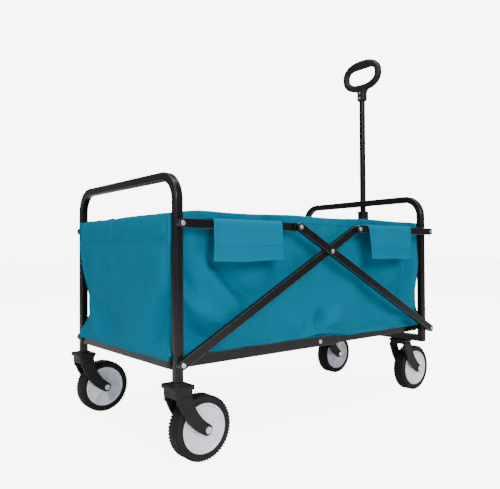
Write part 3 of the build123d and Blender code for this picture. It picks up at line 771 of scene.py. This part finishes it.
stretched = nodes.new("ShaderNodeMapping")
stretched.inputs["Scale"].default_value = (18, 900, 1)
slub = nodes.new("ShaderNodeTexNoise")
slub.inputs["Scale"].default_value = 1
slub.inputs["Detail"].default_value = 2
links.new(flat_place.outputs["UV"], stretched.inputs["Vector"])
links.new(stretched.outputs["Vector"], slub.inputs["Vector"])
links.new(slub.outputs["Fac"], leave.inputs["Slub"])


def woven(name, color, faded, pitch, roughness):
    """Coated woven cloth: over and under threads, slubs, soft crumple and a faint sheen."""
    material, nodes, links, main = shader(name, color, roughness, specular=0.06)
    weave = placed_group(nodes, weave_group, Pitch=pitch)
    share = math_node(nodes, links, "ADD", math_node(nodes, links, "MULTIPLY", weave.outputs["Cloud"], 0.55),
                      math_node(nodes, links, "MULTIPLY", weave.outputs["Slub"], 0.35), clamp=True)
    links.new(mixed(nodes, links, share, color, faded), main.inputs["Base Color"])
    main.inputs["Sheen Weight"].default_value = 0.03
    main.inputs["Sheen Roughness"].default_value = 0.45
    main.inputs["Sheen Tint"].default_value = (0.35, 0.75, 0.9, 1)
    threads = bumped(nodes, links, main, weave.outputs["Height"], 0.35, 0.00012)
    crumple = nodes.new("ShaderNodeBump")
    crumple.inputs["Strength"].default_value = 0.25
    crumple.inputs["Distance"].default_value = 0.004
    links.new(weave.outputs["Cloud"], crumple.inputs["Height"])
    links.new(crumple.outputs["Normal"], threads.inputs["Normal"])
    return material


polyester = woven("teal polyester", TEAL, TEAL_FADED, THREAD_PITCH, 0.72)
thread, _, _, _ = shader("teal thread", THREAD_TEAL, 0.6, specular=0.3)


def grid_object(name, points):
    """A plain grid mesh object from an array of points."""
    across, tall = points.shape[:2]
    index = np.arange(across * tall).reshape(across, tall)
    faces = np.stack([index[:-1, :-1], index[1:, :-1], index[1:, 1:], index[:-1, 1:]], -1).reshape(-1, 4)
    mesh = bpy.data.meshes.new(name)
    mesh.from_pydata(points.reshape(-1, 3).tolist(), [], faces.tolist())
    return new_piece(name, mesh)


def hung(name, points, held, growth, sway=6.0):
    """Lets a grid of cloth, cut a little larger than its frame, settle while held points stay put."""
    piece = grid_object(name, points)
    group = piece.vertex_groups.new(name="held")
    for place, weight in zip(range(held.size), held.reshape(-1)):
        if weight > 0:
            group.add([place], float(weight), "REPLACE")
    cloth = piece.modifiers.new("hang", "CLOTH")
    settings = cloth.settings
    settings.quality = 7
    settings.mass = 0.25
    settings.air_damping = 3
    settings.tension_stiffness = 30
    settings.compression_stiffness = 30
    settings.shear_stiffness = 12
    settings.bending_stiffness = sway
    settings.vertex_group_mass = "held"
    settings.shrink_min = -growth
    settings.shrink_max = -growth
    cloth.collision_settings.use_collision = False
    cloth.point_cache.frame_start = 1
    cloth.point_cache.frame_end = SIM_FRAMES
    for number in range(1, SIM_FRAMES + 1):
        bpy.context.scene.frame_set(number)
    ready = piece.evaluated_get(bpy.context.evaluated_depsgraph_get())
    settled = np.array([vert.co for vert in ready.data.vertices]).reshape(points.shape)
    bpy.data.objects.remove(piece)
    bpy.context.scene.frame_set(1)
    return settled


def resampled(points, places, axis):
    """Smooth curve through the grid's points along one axis, read at places from 0 to 1."""
    points = np.moveaxis(points, axis, 0)
    last = points.shape[0] - 1
    at = np.clip(np.asarray(places) * last, 0, last)
    low = np.minimum(at.astype(int), last - 1)
    part = (at - low).reshape((-1,) + (1,) * (points.ndim - 1))
    before, first, second, after = (points[np.clip(low + k, 0, last)] for k in (-1, 0, 1, 2))
    cubed = part * (3 * (first - second) + after - before)
    squared = 2 * before - 5 * first + 4 * second - after + cubed
    curve = first + 0.5 * part * (second - before + part * squared)
    return np.moveaxis(curve, 0, axis)


def facing(points):
    """Unit normals of a grid of points."""
    normal = np.cross(np.gradient(points, axis=0), np.gradient(points, axis=1))
    return normal / np.maximum(np.linalg.norm(normal, axis=-1, keepdims=True), 1e-12)


def shell_mesh(name, front, back, flat):
    """Closed cloth of two faces and its cut edges, with a UV map in metres."""
    across, tall = front.shape[:2]
    count = across * tall
    index = np.arange(count).reshape(across, tall)
    quads = np.stack([index[:-1, :-1], index[1:, :-1], index[1:, 1:], index[:-1, 1:]], -1).reshape(-1, 4)
    edge = np.concatenate([index[:, 0], index[-1, 1:], index[-2::-1, -1], index[0, -2:0:-1]])
    after = np.roll(edge, -1)
    rim = np.stack([edge, edge + count, after + count, after], -1)
    faces = np.concatenate([quads, quads[:, ::-1] + count, rim])
    mesh = bpy.data.meshes.new(name)
    mesh.from_pydata(np.concatenate([front.reshape(-1, 3), back.reshape(-1, 3)]).tolist(), [], faces.tolist())
    layer = mesh.uv_layers.new(name="cloth")
    corner = np.empty(len(mesh.loops), dtype=np.int32)
    mesh.loops.foreach_get("vertex_index", corner)
    layer.data.foreach_set("uv", np.tile(flat.reshape(-1, 2), (2, 1))[corner].astype(np.float32).reshape(-1))
    mesh.shade_smooth()
    return mesh


def soft_step(distance, width):
    """1 inside, falling to 0 over width as the distance passes zero."""
    part = np.clip(0.5 - distance / width, 0, 1)
    return part * part * (3 - 2 * part)


def wavering(values, scale, seed):
    """Smooth noise along a line, from -1 to 1."""
    wave = [noise.noise(Vector((value * scale, seed, 0.37))) for value in np.ravel(values)]
    return np.array(wave).reshape(np.shape(values))


def creased(run, height, creases):
    """Depth of a set of soft creases, each from one point of the wall to another."""
    depth = np.zeros_like(run)
    for run_a, height_a, run_b, height_b, width, deep in creases:
        along = np.array((run_b - run_a, height_b - height_a))
        length = np.hypot(*along)
        along = along / length
        t = ((run - run_a) * along[0] + (height - height_a) * along[1]) / length
        off = (run - run_a) * -along[1] + (height - height_a) * along[0]
        depth += deep * np.exp(-((off / width) ** 2)) * np.exp(-(((t - 0.5) / 0.5) ** 4))
    return depth


def stitch_tree():
    """Geometry nodes that lay short stitches along a line of sewing."""
    tree = bpy.data.node_groups.new("line of stitches", "GeometryNodeTree")
    for label, kind, way in (
        ("Geometry", "NodeSocketGeometry", "INPUT"), ("Pitch", "NodeSocketFloat", "INPUT"),
        ("Long", "NodeSocketFloat", "INPUT"), ("Thick", "NodeSocketFloat", "INPUT"),
        ("Material", "NodeSocketMaterial", "INPUT"), ("Geometry", "NodeSocketGeometry", "OUTPUT"),
    ):
        tree.interface.new_socket(label, in_out=way, socket_type=kind)
    nodes, links = tree.nodes, tree.links
    entry, leave = nodes.new("NodeGroupInput"), nodes.new("NodeGroupOutput")
    line = nodes.new("GeometryNodeMeshToCurve")
    points = nodes.new("GeometryNodeCurveToPoints")
    points.mode = "LENGTH"
    bead = nodes.new("GeometryNodeMeshIcoSphere")
    bead.inputs["Subdivisions"].default_value = 1
    bead.inputs["Radius"].default_value = 0.5
    size = nodes.new("ShaderNodeCombineXYZ")
    spread = nodes.new("GeometryNodeInstanceOnPoints")
    real = nodes.new("GeometryNodeRealizeInstances")
    coat = nodes.new("GeometryNodeSetMaterial")
    links.new(entry.outputs["Geometry"], line.inputs[0])
    links.new(line.outputs[0], points.inputs["Curve"])
    links.new(entry.outputs["Pitch"], points.inputs["Length"])
    links.new(entry.outputs["Thick"], size.inputs["X"])
    links.new(entry.outputs["Thick"], size.inputs["Y"])
    links.new(entry.outputs["Long"], size.inputs["Z"])
    links.new(points.outputs["Points"], spread.inputs["Points"])
    links.new(points.outputs["Rotation"], spread.inputs["Rotation"])
    links.new(bead.outputs["Mesh"], spread.inputs["Instance"])
    links.new(size.outputs[0], spread.inputs["Scale"])
    links.new(spread.outputs[0], real.inputs[0])
    links.new(real.outputs[0], coat.inputs["Geometry"])
    links.new(entry.outputs["Material"], coat.inputs["Material"])
    links.new(coat.outputs[0], leave.inputs[0])
    return tree


line_of_stitches = stitch_tree()


def stitched(name, lines):
    """Stitches along one or more lines of points, as one mesh of thread."""
    points, edges = [], []
    for line in lines:
        start = len(points)
        points += [tuple(point) for point in line]
        edges += [(k, k + 1) for k in range(start, len(points) - 1)]
    mesh = bpy.data.meshes.new(name)
    mesh.from_pydata(points, edges, [])
    made = modifier_mesh(
        new_piece(name, mesh), line_of_stitches,
        {"Pitch": STITCH_PITCH, "Long": 0.0036, "Thick": 0.0011, "Material": thread},
    )
    made.polygons.foreach_set("material_index", [1] * len(made.polygons))
    return made


def piping(name, line, radius):
    """Bound edge: a thin round cord of cloth along a line of points."""
    line = np.asarray(line)
    ahead = np.gradient(line, axis=0)
    ahead /= np.linalg.norm(ahead, axis=1, keepdims=True)
    side_way = np.cross(ahead, (0.3, 0.9, 0.31))
    side_way /= np.linalg.norm(side_way, axis=1, keepdims=True)
    other = np.cross(ahead, side_way)
    angles = np.linspace(0, 2 * math.pi, 9)
    ring = line[:, None] + radius * (np.cos(angles)[None, :, None] * side_way[:, None]
                                     + np.sin(angles)[None, :, None] * other[:, None])
    mesh = bpy.data.meshes.new(name)
    rounds, count = ring.shape[0], 8
    faces = []
    for k in range(rounds - 1):
        here, there = k * count, (k + 1) * count
        for i in range(count):
            beside = (i + 1) % count
            faces.append((here + i, here + beside, there + beside, there + i))
    faces += [tuple(range(count)), tuple(range((rounds - 1) * count, rounds * count))[::-1]]
    mesh.from_pydata(ring[:, :count].reshape(-1, 3).tolist(), [], faces)
    length = np.concatenate([[0], np.cumsum(np.linalg.norm(np.diff(line, axis=0), axis=1))])
    layer = mesh.uv_layers.new(name="cloth")
    for loop in mesh.loops:
        row, column = divmod(loop.vertex_index, count)
        layer.data[loop.index].uv = (length[row], column * radius)
    mesh.shade_smooth()
    return mesh


def sewn_piece(name, meshes, world=None):
    """Cloth, thread and piping joined as one piece, with faces turned outwards."""
    shape = bmesh.new()
    for mesh in meshes:
        shape.from_mesh(mesh)
    if world is not None:
        bmesh.ops.transform(shape, matrix=world, verts=shape.verts)
    bmesh.ops.recalc_face_normals(shape, faces=shape.faces)
    piece = new_piece(name, mesh_of(name, shape), polyester)
    piece.data.materials.append(thread)
    return piece


def pull_share(height):
    """How far a corner seam is drawn in: most a quarter of the way up, nothing at hem and sleeve."""
    v = np.clip((height - TUB_LOW) / (rear_post.z - SLEEVE_STITCH - TUB_LOW), 0, 1)
    reach = np.where(v > 0.28, 0.40, 0.20)
    return np.exp(-(((v - 0.28) / reach) ** 2)) * np.clip(np.sin(math.pi * v) * 3.2, 0, 1)


def side_frame(way):
    """Places a sheet on one side of the wagon, with outward turned to that side."""
    return Matrix(((1, 0, 0, 0), (0, way, 0, middle.y + way * SIDE_OUT), (0, 0, 1, 0), (0, 0, 0, 1)))


def wall_grid(name, low, high, hem, rim, creases, depth, growth, bulge, stiff, low_pull, high_pull):
    """Points of one hung wall in its own frame: x along it, y outwards, z up."""
    columns, rows = round((high - low) / 0.0078), 40
    u, v = np.meshgrid(np.linspace(0, 1, columns + 1), np.linspace(0, 1, rows + 1), indexing="ij")
    rough = low + u * (high - low)
    share = pull_share(hem(rough) + v * (rim(rough) - hem(rough)))
    first, last = low + low_pull[0] * share, high - high_pull[0] * share
    run = first + u * (last - first)
    foot, top = hem(run), rim(run)
    height = foot + v * (top - foot)
    out = -share * (low_pull[1] * np.exp(-(run - first) / PULL_REACH)
                    + high_pull[1] * np.exp(-(last - run) / PULL_REACH))
    out += bulge * np.sin(math.pi * v) * np.sin(math.pi * u)
    taper = np.clip(np.sin(math.pi * v) * 3, 0, 1) * np.clip(np.sin(math.pi * u) * 8, 0, 1)
    out += depth * creased(run, height, creases) * taper
    points = np.stack([run, out, height], -1)
    held = np.zeros_like(u)
    held[0], held[-1], held[:, 0], held[:, -1] = 1, 1, 1, 1
    return hung(name, points, held, growth, stiff)


def hemmed(name, points, thick, top_hem, low_hem, side_hem, finer):
    """The wall as double faced cloth with raised hems, and its lines of stitches."""
    width = np.linalg.norm(np.diff(points[:, 0], axis=0), axis=-1).sum()
    tall = np.linalg.norm(np.diff(points[points.shape[0] // 2], axis=0), axis=-1).sum()
    v = np.linspace(0, 1, round(points.shape[1] * finer))
    marks = []
    if top_hem:
        marks += [1 - (top_hem - 0.0008) / tall, 1 - (top_hem + 0.0008) / tall, 1 - top_hem / tall]
    if low_hem:
        marks += [(low_hem - 0.0008) / tall, (low_hem + 0.0008) / tall, low_hem / tall]
    v = np.sort(np.concatenate([v, marks]))
    u = np.linspace(0, 1, round(points.shape[0] * finer))
    if side_hem:
        u = np.sort(np.concatenate([u, [side_hem / width, 1 - side_hem / width]]))
    points = resampled(resampled(points, u, 0), v, 1)
    flat = np.stack(np.meshgrid(u * width, v * tall, indexing="ij"), -1)
    rise = np.zeros(points.shape[:2])
    lines = []
    from_low, from_top = flat[..., 1], tall - flat[..., 1]
    from_side = np.minimum(flat[..., 0], width - flat[..., 0])
    for gap, hem in ((from_top, top_hem), (from_low, low_hem), (from_side, side_hem)):
        if hem:
            rise = np.maximum(rise, HEM_RISE * soft_step(gap - hem, 0.0016))
            pucker = 0.6 + 0.4 * wavering(flat[..., 0] + flat[..., 1] * 0.3, 90, hem * 100)
            rise -= STITCH_SINK * pucker * np.exp(-(((gap - hem + 0.003) / 0.0018) ** 2))
    normal = facing(points)
    front = points + normal * (thick / 2 + rise)[..., None]
    back = points - normal * (thick / 2 + np.maximum(rise, 0))[..., None]
    for hem, from_end in ((top_hem, True), (low_hem, False)):
        if hem:
            place = (hem - 0.003) / tall
            row = resampled(front, [1 - place if from_end else place], 1)[:, 0]
            away = resampled(normal, [1 - place if from_end else place], 1)[:, 0]
            lines.append(row[2:-2] + away[2:-2] * 0.0002)
    if side_hem:
        for place in ((side_hem - 0.003) / width, 1 - (side_hem - 0.003) / width):
            column = resampled(front, [place], 0)[0]
            away = resampled(normal, [place], 0)[0]
            lines.append(column[2:-2] + away[2:-2] * 0.0002)
    return shell_mesh(name, front, back, flat), lines, (width, tall)


low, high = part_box("right_side_panel")
TUB_REAR, TUB_FRONT = low[0], high[0]
TUB_LOW, TUB_RIM = low[2], high[2]
SIDE_OUT = -low[1] - 0.0012
rear_post, front_post = centre_of("rear_rim_bar"), centre_of("front_rim_bar")
HINGE_X = (rear_post.x + front_post.x) / 2


def side_hem_z(run):
    """Lower edge of a side wall: it scallops along the rails and lifts at the floor's hinge."""
    at = run - HINGE_X
    lift = 0.006 * np.exp(-((at / 0.05) ** 2))
    past_rail = np.clip((at - 0.066) / 0.05, 0, 1)
    return TUB_LOW + 0.0003 + lift + 0.0006 * (1 + np.sin(at * 46)) - 0.0075 * past_rail


def side_rim_z(run):
    """Upper edge of a side wall: it dips at the posts, where the hem is stitched to the sleeve."""
    dip = np.exp(-(((run - TUB_REAR) / 0.05) ** 2)) + 0.5 * np.exp(-(((TUB_FRONT - run) / 0.04) ** 2))
    return TUB_RIM - 0.001 - 0.008 * dip - 0.0014 * (1 + np.sin((run - HINGE_X) * 21 + 0.6))


side_creases = [
    (-0.43, 0.505, -0.26, 0.29, 0.026, 0.007), (-0.40, 0.46, -0.21, 0.335, 0.020, -0.008),
    (-0.445, 0.37, -0.29, 0.275, 0.026, 0.007), (-0.44, 0.30, -0.33, 0.235, 0.020, -0.005),
    (-0.445, 0.44, -0.38, 0.33, 0.018, -0.006), (-0.20, 0.50, -0.12, 0.38, 0.035, -0.004),
    (-0.06, 0.24, -0.14, 0.33, 0.030, 0.005), (0.0, 0.232, 0.012, 0.30, 0.016, -0.008),
    (0.035, 0.235, 0.09, 0.31, 0.026, 0.006), (0.16, 0.45, 0.10, 0.30, 0.045, 0.004),
    (0.405, 0.48, 0.345, 0.27, 0.022, -0.008), (0.435, 0.46, 0.39, 0.26, 0.016, 0.006),
    (0.36, 0.49, 0.27, 0.33, 0.026, 0.006), (0.44, 0.30, 0.30, 0.245, 0.022, 0.005),
]
SIDE_CREASE_DEPTH = 2.5
for number, side in enumerate(sides):
    way = -1 if side == "right" else 1
    softer = 1 if number == 0 else 0.8
    mirrored = [(HINGE_X + a, b, HINGE_X + c, d, e, f * softer) for a, b, c, d, e, f in side_creases]
    points = wall_grid(
        f"{side}_wall_hang", TUB_REAR, TUB_FRONT, side_hem_z, side_rim_z, mirrored,
        SIDE_CREASE_DEPTH, 0.005, 0.002, 30, REAR_PULL, FRONT_PULL)
    points[..., 1] = np.clip(points[..., 1], -0.03, 0.014)
    cloth, lines, flat = hemmed(f"{side}_wall", points, CLOTH_THICK, TOP_HEM, LOW_HEM, 0, 1.7)
    frame_way = side_frame(way)
    piece = sewn_piece(f"{side}_wall", [cloth, stitched("wall_stitches", lines)], frame_way)
    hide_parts(f"{side}_side_panel")
    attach(piece, "rear_frame")
    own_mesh(piece)

# ---- End walls and their sleeves ----
# Each end wall is sewn along its top into a sleeve that the rim bar runs through, and piped down
# both corners, where the side walls meet it.
SLEEVE_TOP = 0.0285
PIPING_R = 0.0019
END_CREASE_DEPTH = 1.5
end_creases = [
    (-0.23, 0.46, -0.03, 0.25, 0.045, -0.006), (-0.235, 0.34, -0.12, 0.25, 0.026, 0.005),
    (0.21, 0.47, 0.06, 0.27, 0.050, 0.006), (0.215, 0.36, 0.15, 0.25, 0.024, -0.006),
    (0.02, 0.29, -0.12, 0.245, 0.034, -0.005),
]
for end, post, out_way, outset, pull in (
    ("rear", rear_post, -1, rear_post.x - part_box("rear_panel")[0][0], REAR_PULL[::-1]),
    ("front", front_post, 1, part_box("front_panel")[1][0] - front_post.x, FRONT_PULL[::-1]),
):
    half = (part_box(f"{end}_panel")[1][1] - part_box(f"{end}_panel")[0][1]) / 2
    stitch_z, sleeve_top = post.z - SLEEVE_STITCH, post.z + SLEEVE_TOP
    flip = 1 if end == "rear" else -1
    creases = [(flip * a, b, flip * c, d, e, f) for a, b, c, d, e, f in end_creases]
    points = wall_grid(
        f"{end}_wall_hang", -half, half,
        lambda run: TUB_LOW - 0.0075 + 0.0008 * np.cos(run * 40),
        lambda run: stitch_z + 0 * run, creases, END_CREASE_DEPTH, 0.0012, 0.001, 60, pull, pull)
    points[..., 1] = np.clip(points[..., 1], -0.03, 0.009 if end == "rear" else 0.0)
    cloth, lines, flat = hemmed(f"{end}_wall", points, CLOTH_THICK, 0, LOW_HEM, 0, 1.9)
    run = np.linspace(-half, half, 150)
    profile = [
        (0.0, stitch_z), (0.0022, stitch_z + 0.012), (0.0026, stitch_z + 0.026), (0.0006, sleeve_top - 0.012),
        (-0.0035, sleeve_top - 0.004), (-0.0105, sleeve_top), (-0.0185, sleeve_top - 0.005),
        (-0.0235, sleeve_top - 0.015), (-0.0240, stitch_z + 0.022), (-0.016, stitch_z + 0.009),
        (-0.002, stitch_z),
    ]
    sleeve = np.array([[(s, o, z) for o, z in profile] for s in run])
    mid_o, mid_z = -0.0105, post.z + 0.004
    ends = np.exp(-((half - np.abs(run)) / 0.012) ** 2)[:, None]
    swell = (1 - 0.30 * ends + 0.05 * wavering(run, 26, 2.0 + flip)[:, None]
             + 0.03 * wavering(run, 75, 5.0)[:, None])
    swell = swell - 0.12 * np.exp(-(((run - flip * -0.03) / 0.007) ** 2))[:, None]
    fade = np.clip((sleeve[..., 2] - stitch_z) / 0.014, 0, 1)
    sleeve[..., 1] = sleeve[..., 1] + (sleeve[..., 1] - mid_o) * (swell - 1) * fade
    sleeve[..., 2] = sleeve[..., 2] + (sleeve[..., 2] - mid_z) * (swell - 1) * fade
    if end == "front":
        sleeve[..., 1] = np.minimum(sleeve[..., 1], 0.0)
    sleeve = resampled(sleeve, np.linspace(0, 1, 70), 1)
    spread = np.concatenate([[0], np.cumsum(np.linalg.norm(np.diff(sleeve[75], axis=0), axis=-1))])
    sleeve_flat = np.stack(np.meshgrid(run + half, 0.3 + spread, indexing="ij"), -1)
    away = facing(sleeve)
    sleeve_cloth = shell_mesh(
        f"{end}_sleeve", sleeve + away * CLOTH_THICK / 2, sleeve - away * CLOTH_THICK / 2, sleeve_flat)
    seam = sleeve[3:-3, 2] + away[3:-3, 2] * (CLOTH_THICK / 2 + 0.0003)
    corners = []
    for column in (points[0], points[-1]):
        seam_line = resampled(column, np.linspace(0, 1, 60), 0) + (0, -0.001, 0)
        corners.append(piping("corner_piping", seam_line, PIPING_R))
    if out_way < 0:
        place = Matrix(((0, -1, 0, post.x - outset + 0.0012), (-1, 0, 0, middle.y),
                        (0, 0, 1, 0), (0, 0, 0, 1)))
    else:
        place = Matrix(((0, 1, 0, post.x + outset - 0.0012), (1, 0, 0, middle.y), (0, 0, 1, 0), (0, 0, 0, 1)))
    sewing = stitched("end_stitches", lines + [seam])
    piece = sewn_piece(f"{end}_wall", [cloth, sleeve_cloth, sewing] + corners, place)
    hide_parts(f"{end}_panel")
    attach(piece, f"{end}_frame")

# ---- Flaps over the links ----
# Four hemmed flaps of the same cloth. Each is sewn to a side wall below its rim, passes over the
# top link and hangs down outside it, so that nobody is pinched when the sides fold.
FLAP_HEM = 0.030
FLAP_SIDE_HEM = 0.011
for side in sides:
    way = -1 if side == "right" else 1
    for end, top_lean, low_lean in (
        ("rear", (0.0, 0.0), (-0.006, -0.003)), ("front", (-0.004, 0.0), (0.014, -0.012)),
    ):
        low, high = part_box(f"{side}_{end}_flap")
        far = max(abs(low[1] - middle.y), abs(high[1] - middle.y)) - SIDE_OUT
        link_top = high[2] - 0.002
        drop = high[2] - low[2]
        profile = np.array([
            (0.0012, link_top + 0.0015), (0.010, link_top + 0.0035), (far * 0.5, link_top + 0.0022),
            (far - 0.007, link_top + 0.0014), (far - 0.0012, link_top - 0.0035),
            (far + 0.0006, link_top - 0.014),
            (far + 0.0012, link_top - 0.34 * drop), (far + 0.0030, link_top - 0.60 * drop),
            (far + 0.0022, link_top - 0.85 * drop), (far + 0.0040, link_top - drop + 0.002),
        ])
        t = np.linspace(0, 1, 34)
        curve = resampled(profile, t, 0)
        u = np.linspace(0, 1, 48)
        left = low[0] + top_lean[0] + (low_lean[0] - top_lean[0]) * t ** 1.3
        right = high[0] + top_lean[1] + (low_lean[1] - top_lean[1]) * t ** 1.3
        points = np.zeros((48, 34, 3))
        points[..., 0] = left[None] + u[:, None] * (right - left)[None]
        points[..., 1] = curve[None, :, 0]
        points[..., 2] = curve[None, :, 1]
        hang = np.clip((t - 0.45) / 0.55, 0, 1)[None] ** 1.2
        seed = {"rear": 1.3, "front": 4.1}[end] + (0 if side == "right" else 9)
        points[..., 1] += hang * (0.0026 * wavering(points[..., 0] + t[None] * 0.05, 17, seed)
                                  + 0.0016 * wavering(points[..., 0] - t[None] * 0.1, 38, seed + 2) + 0.0012)
        points[..., 2] += hang * 0.0022 * wavering(points[..., 0], 14, seed + 5)
        points[..., 1] = np.where(t[None] > 0.5, np.maximum(points[..., 1], far + 0.0002), points[..., 1])
        points = points[::-1, ::-1]
        cloth, lines, flat = hemmed(f"{side}_{end}_flap", points, 0.0013, 0, FLAP_HEM, FLAP_SIDE_HEM, 1.6)
        frame_way = side_frame(way)
        piece = sewn_piece(f"{side}_{end}_flap_cloth", [cloth, stitched("flap_stitches", lines)], frame_way)
        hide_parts(f"{side}_{end}_flap")
        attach(piece, f"{end}_frame")
        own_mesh(piece)

# ---- Floor of the tub ----
# A stiff board is sewn into each half of the cloth floor. The halves hinge at the middle, where
# a slack strip of cloth joins them.
FLOOR_REACH = 0.0105
for end, board_way in (("rear", 1), ("front", -1)):
    low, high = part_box(f"{end}_floor_board")
    post_x = rear_post.x if end == "rear" else front_post.x
    start = post_x - board_way * FLOOR_REACH
    stop = HINGE_X - board_way * 0.0004
    floor_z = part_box(f"right_{end}_rail")[1][2] + 0.0012
    half_y = SIDE_OUT + 0.0004
    along = np.linspace(0, 1, 110)
    wide = np.linspace(-half_y, half_y, 90)
    x = start + along * (stop - start)
    grid = np.zeros((110, 90, 3))
    grid[..., 0] = x[:, None]
    grid[..., 1] = wide[None]
    board_low, board_high = low[0], high[0]
    past_board = np.abs(x - (board_low + board_high) / 2) - (board_high - board_low) / 2
    inside = soft_step(past_board, 0.012)[:, None]
    inside = inside * soft_step(np.abs(wide) - 0.205, 0.012)[None]
    slack = np.array([[noise.noise(Vector((a * 15, b * 15, 3.3 + board_way))) for b in wide] for a in x])
    grid[..., 2] = floor_z + 0.0022 * inside + 0.0010 * slack * (1 - inside) + 0.0010
    if board_way < 0:
        clear_of_rail = soft_step(HINGE_X + 0.070 - grid[..., 0], 0.006)
        grid[..., 2] -= 0.005 * clear_of_rail * soft_step(0.2305 - np.abs(grid[..., 1]), 0.006)
        grid = grid[::-1]
    away = np.array((0, 0, 1.0))
    flat_map = np.stack([grid[..., 0], grid[..., 1]], -1)
    cloth = shell_mesh(f"{end}_floor", grid + away * CLOTH_THICK / 2, grid - away * CLOTH_THICK / 2, flat_map)
    lines = []
    for edge_y in (-0.209, 0.209):
        along_board = np.linspace(board_low, board_high, 40)
        lines.append([(a, edge_y, floor_z + 0.0022 + CLOTH_THICK / 2) for a in along_board])
    for edge_x in (board_low + 0.002, board_high - 0.002):
        across_board = np.linspace(-0.207, 0.207, 40)
        lines.append([(edge_x, b, floor_z + 0.0024 + CLOTH_THICK / 2) for b in across_board])
    piece = sewn_piece(f"{end}_floor_cloth", [cloth, stitched("floor_stitches", lines)])
    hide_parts(f"{end}_floor_board")
    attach(piece, f"{end}_floor")

# ---- Handle grip ----
# A ring of soft touch nylon moulded in one with its socket, with a palm swell under the top bar.
# It slips over the inner tube and two rivets hold it.
GRIP_TUBE = 0.012
SWELL_DROP = 0.0048
low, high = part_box("handle_grip")
grip_x = (low[0] + high[0]) / 2
GRIP_WIDE, GRIP_HIGH = high[1] - low[1], high[2]
ring_half = GRIP_WIDE / 2 - GRIP_TUBE
ring_tall = 0.109 / 2 - GRIP_TUBE
ring_z = GRIP_HIGH - GRIP_TUBE - ring_tall
rounds, around = 160, 28
verts, faces = [], []
for k in range(rounds):
    angle = 2 * math.pi * k / rounds
    ca, sa = math.cos(angle), math.sin(angle)
    stretch = (abs(ca) ** 2.35 + abs(sa) ** 2.35) ** (-1 / 2.35)
    centre = Vector((grip_x, ring_half * ca * stretch, ring_z + ring_tall * sa * stretch))
    outward = Vector((0, ca * stretch / ring_half, sa * stretch / ring_tall)).normalized()
    upper = max(0.0, sa) ** 2 * math.exp(-((centre.y / 0.047) ** 4))
    for i in range(around):
        turn = 2 * math.pi * i / around
        across, depth = math.sin(turn), math.cos(turn)
        inner = max(0.0, -depth) * upper * SWELL_DROP * 1.7
        sideways = Vector((across * (GRIP_TUBE + 0.0008 * upper), 0, 0))
        verts.append(centre + outward * (depth * GRIP_TUBE - inner) + sideways)
for k in range(rounds):
    for i in range(around):
        a, b = k * around + i, k * around + (i + 1) % around
        c, d = ((k + 1) % rounds) * around + (i + 1) % around, ((k + 1) % rounds) * around + i
        faces.append((a, b, c, d))
ring = bmesh.new()
ring_verts = [ring.verts.new(v) for v in verts]
for face in faces:
    ring.faces.new([ring_verts[i] for i in face])
socket_levels = [
    (0.0, 0.0125, 0.0155), (0.0012, 0.0130, 0.0160), (0.006, 0.0128, 0.0157), (0.026, 0.0125, 0.0162),
    (0.034, 0.0122, 0.0190), (0.040, 0.0119, 0.0260), (0.045, 0.0112, 0.0330), (0.050, 0.009, 0.036),
]
level_rings = []
for rise, half_x, half_y in socket_levels:
    level = []
    for i in range(40):
        turn = 2 * math.pi * i / 40
        ca, sa = math.cos(turn), math.sin(turn)
        stretch = (abs(ca) ** 4 + abs(sa) ** 4) ** -0.25
        level.append(ring.verts.new((grip_x + half_x * ca * stretch, half_y * sa * stretch, low[2] + rise)))
    level_rings.append(level)
for here, there in zip(level_rings, level_rings[1:]):
    for i in range(40):
        j = (i + 1) % 40
        ring.faces.new((here[i], here[j], there[j], there[i]))
ring.faces.new(level_rings[0][::-1])
ring.faces.new(level_rings[-1])
smooth_grip = moulded("grip_ring", ring, 0.0014, 9)
grip = new_piece("ring_grip", smooth_grip, nylon)
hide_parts("handle_grip")
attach(grip, "handle_top")
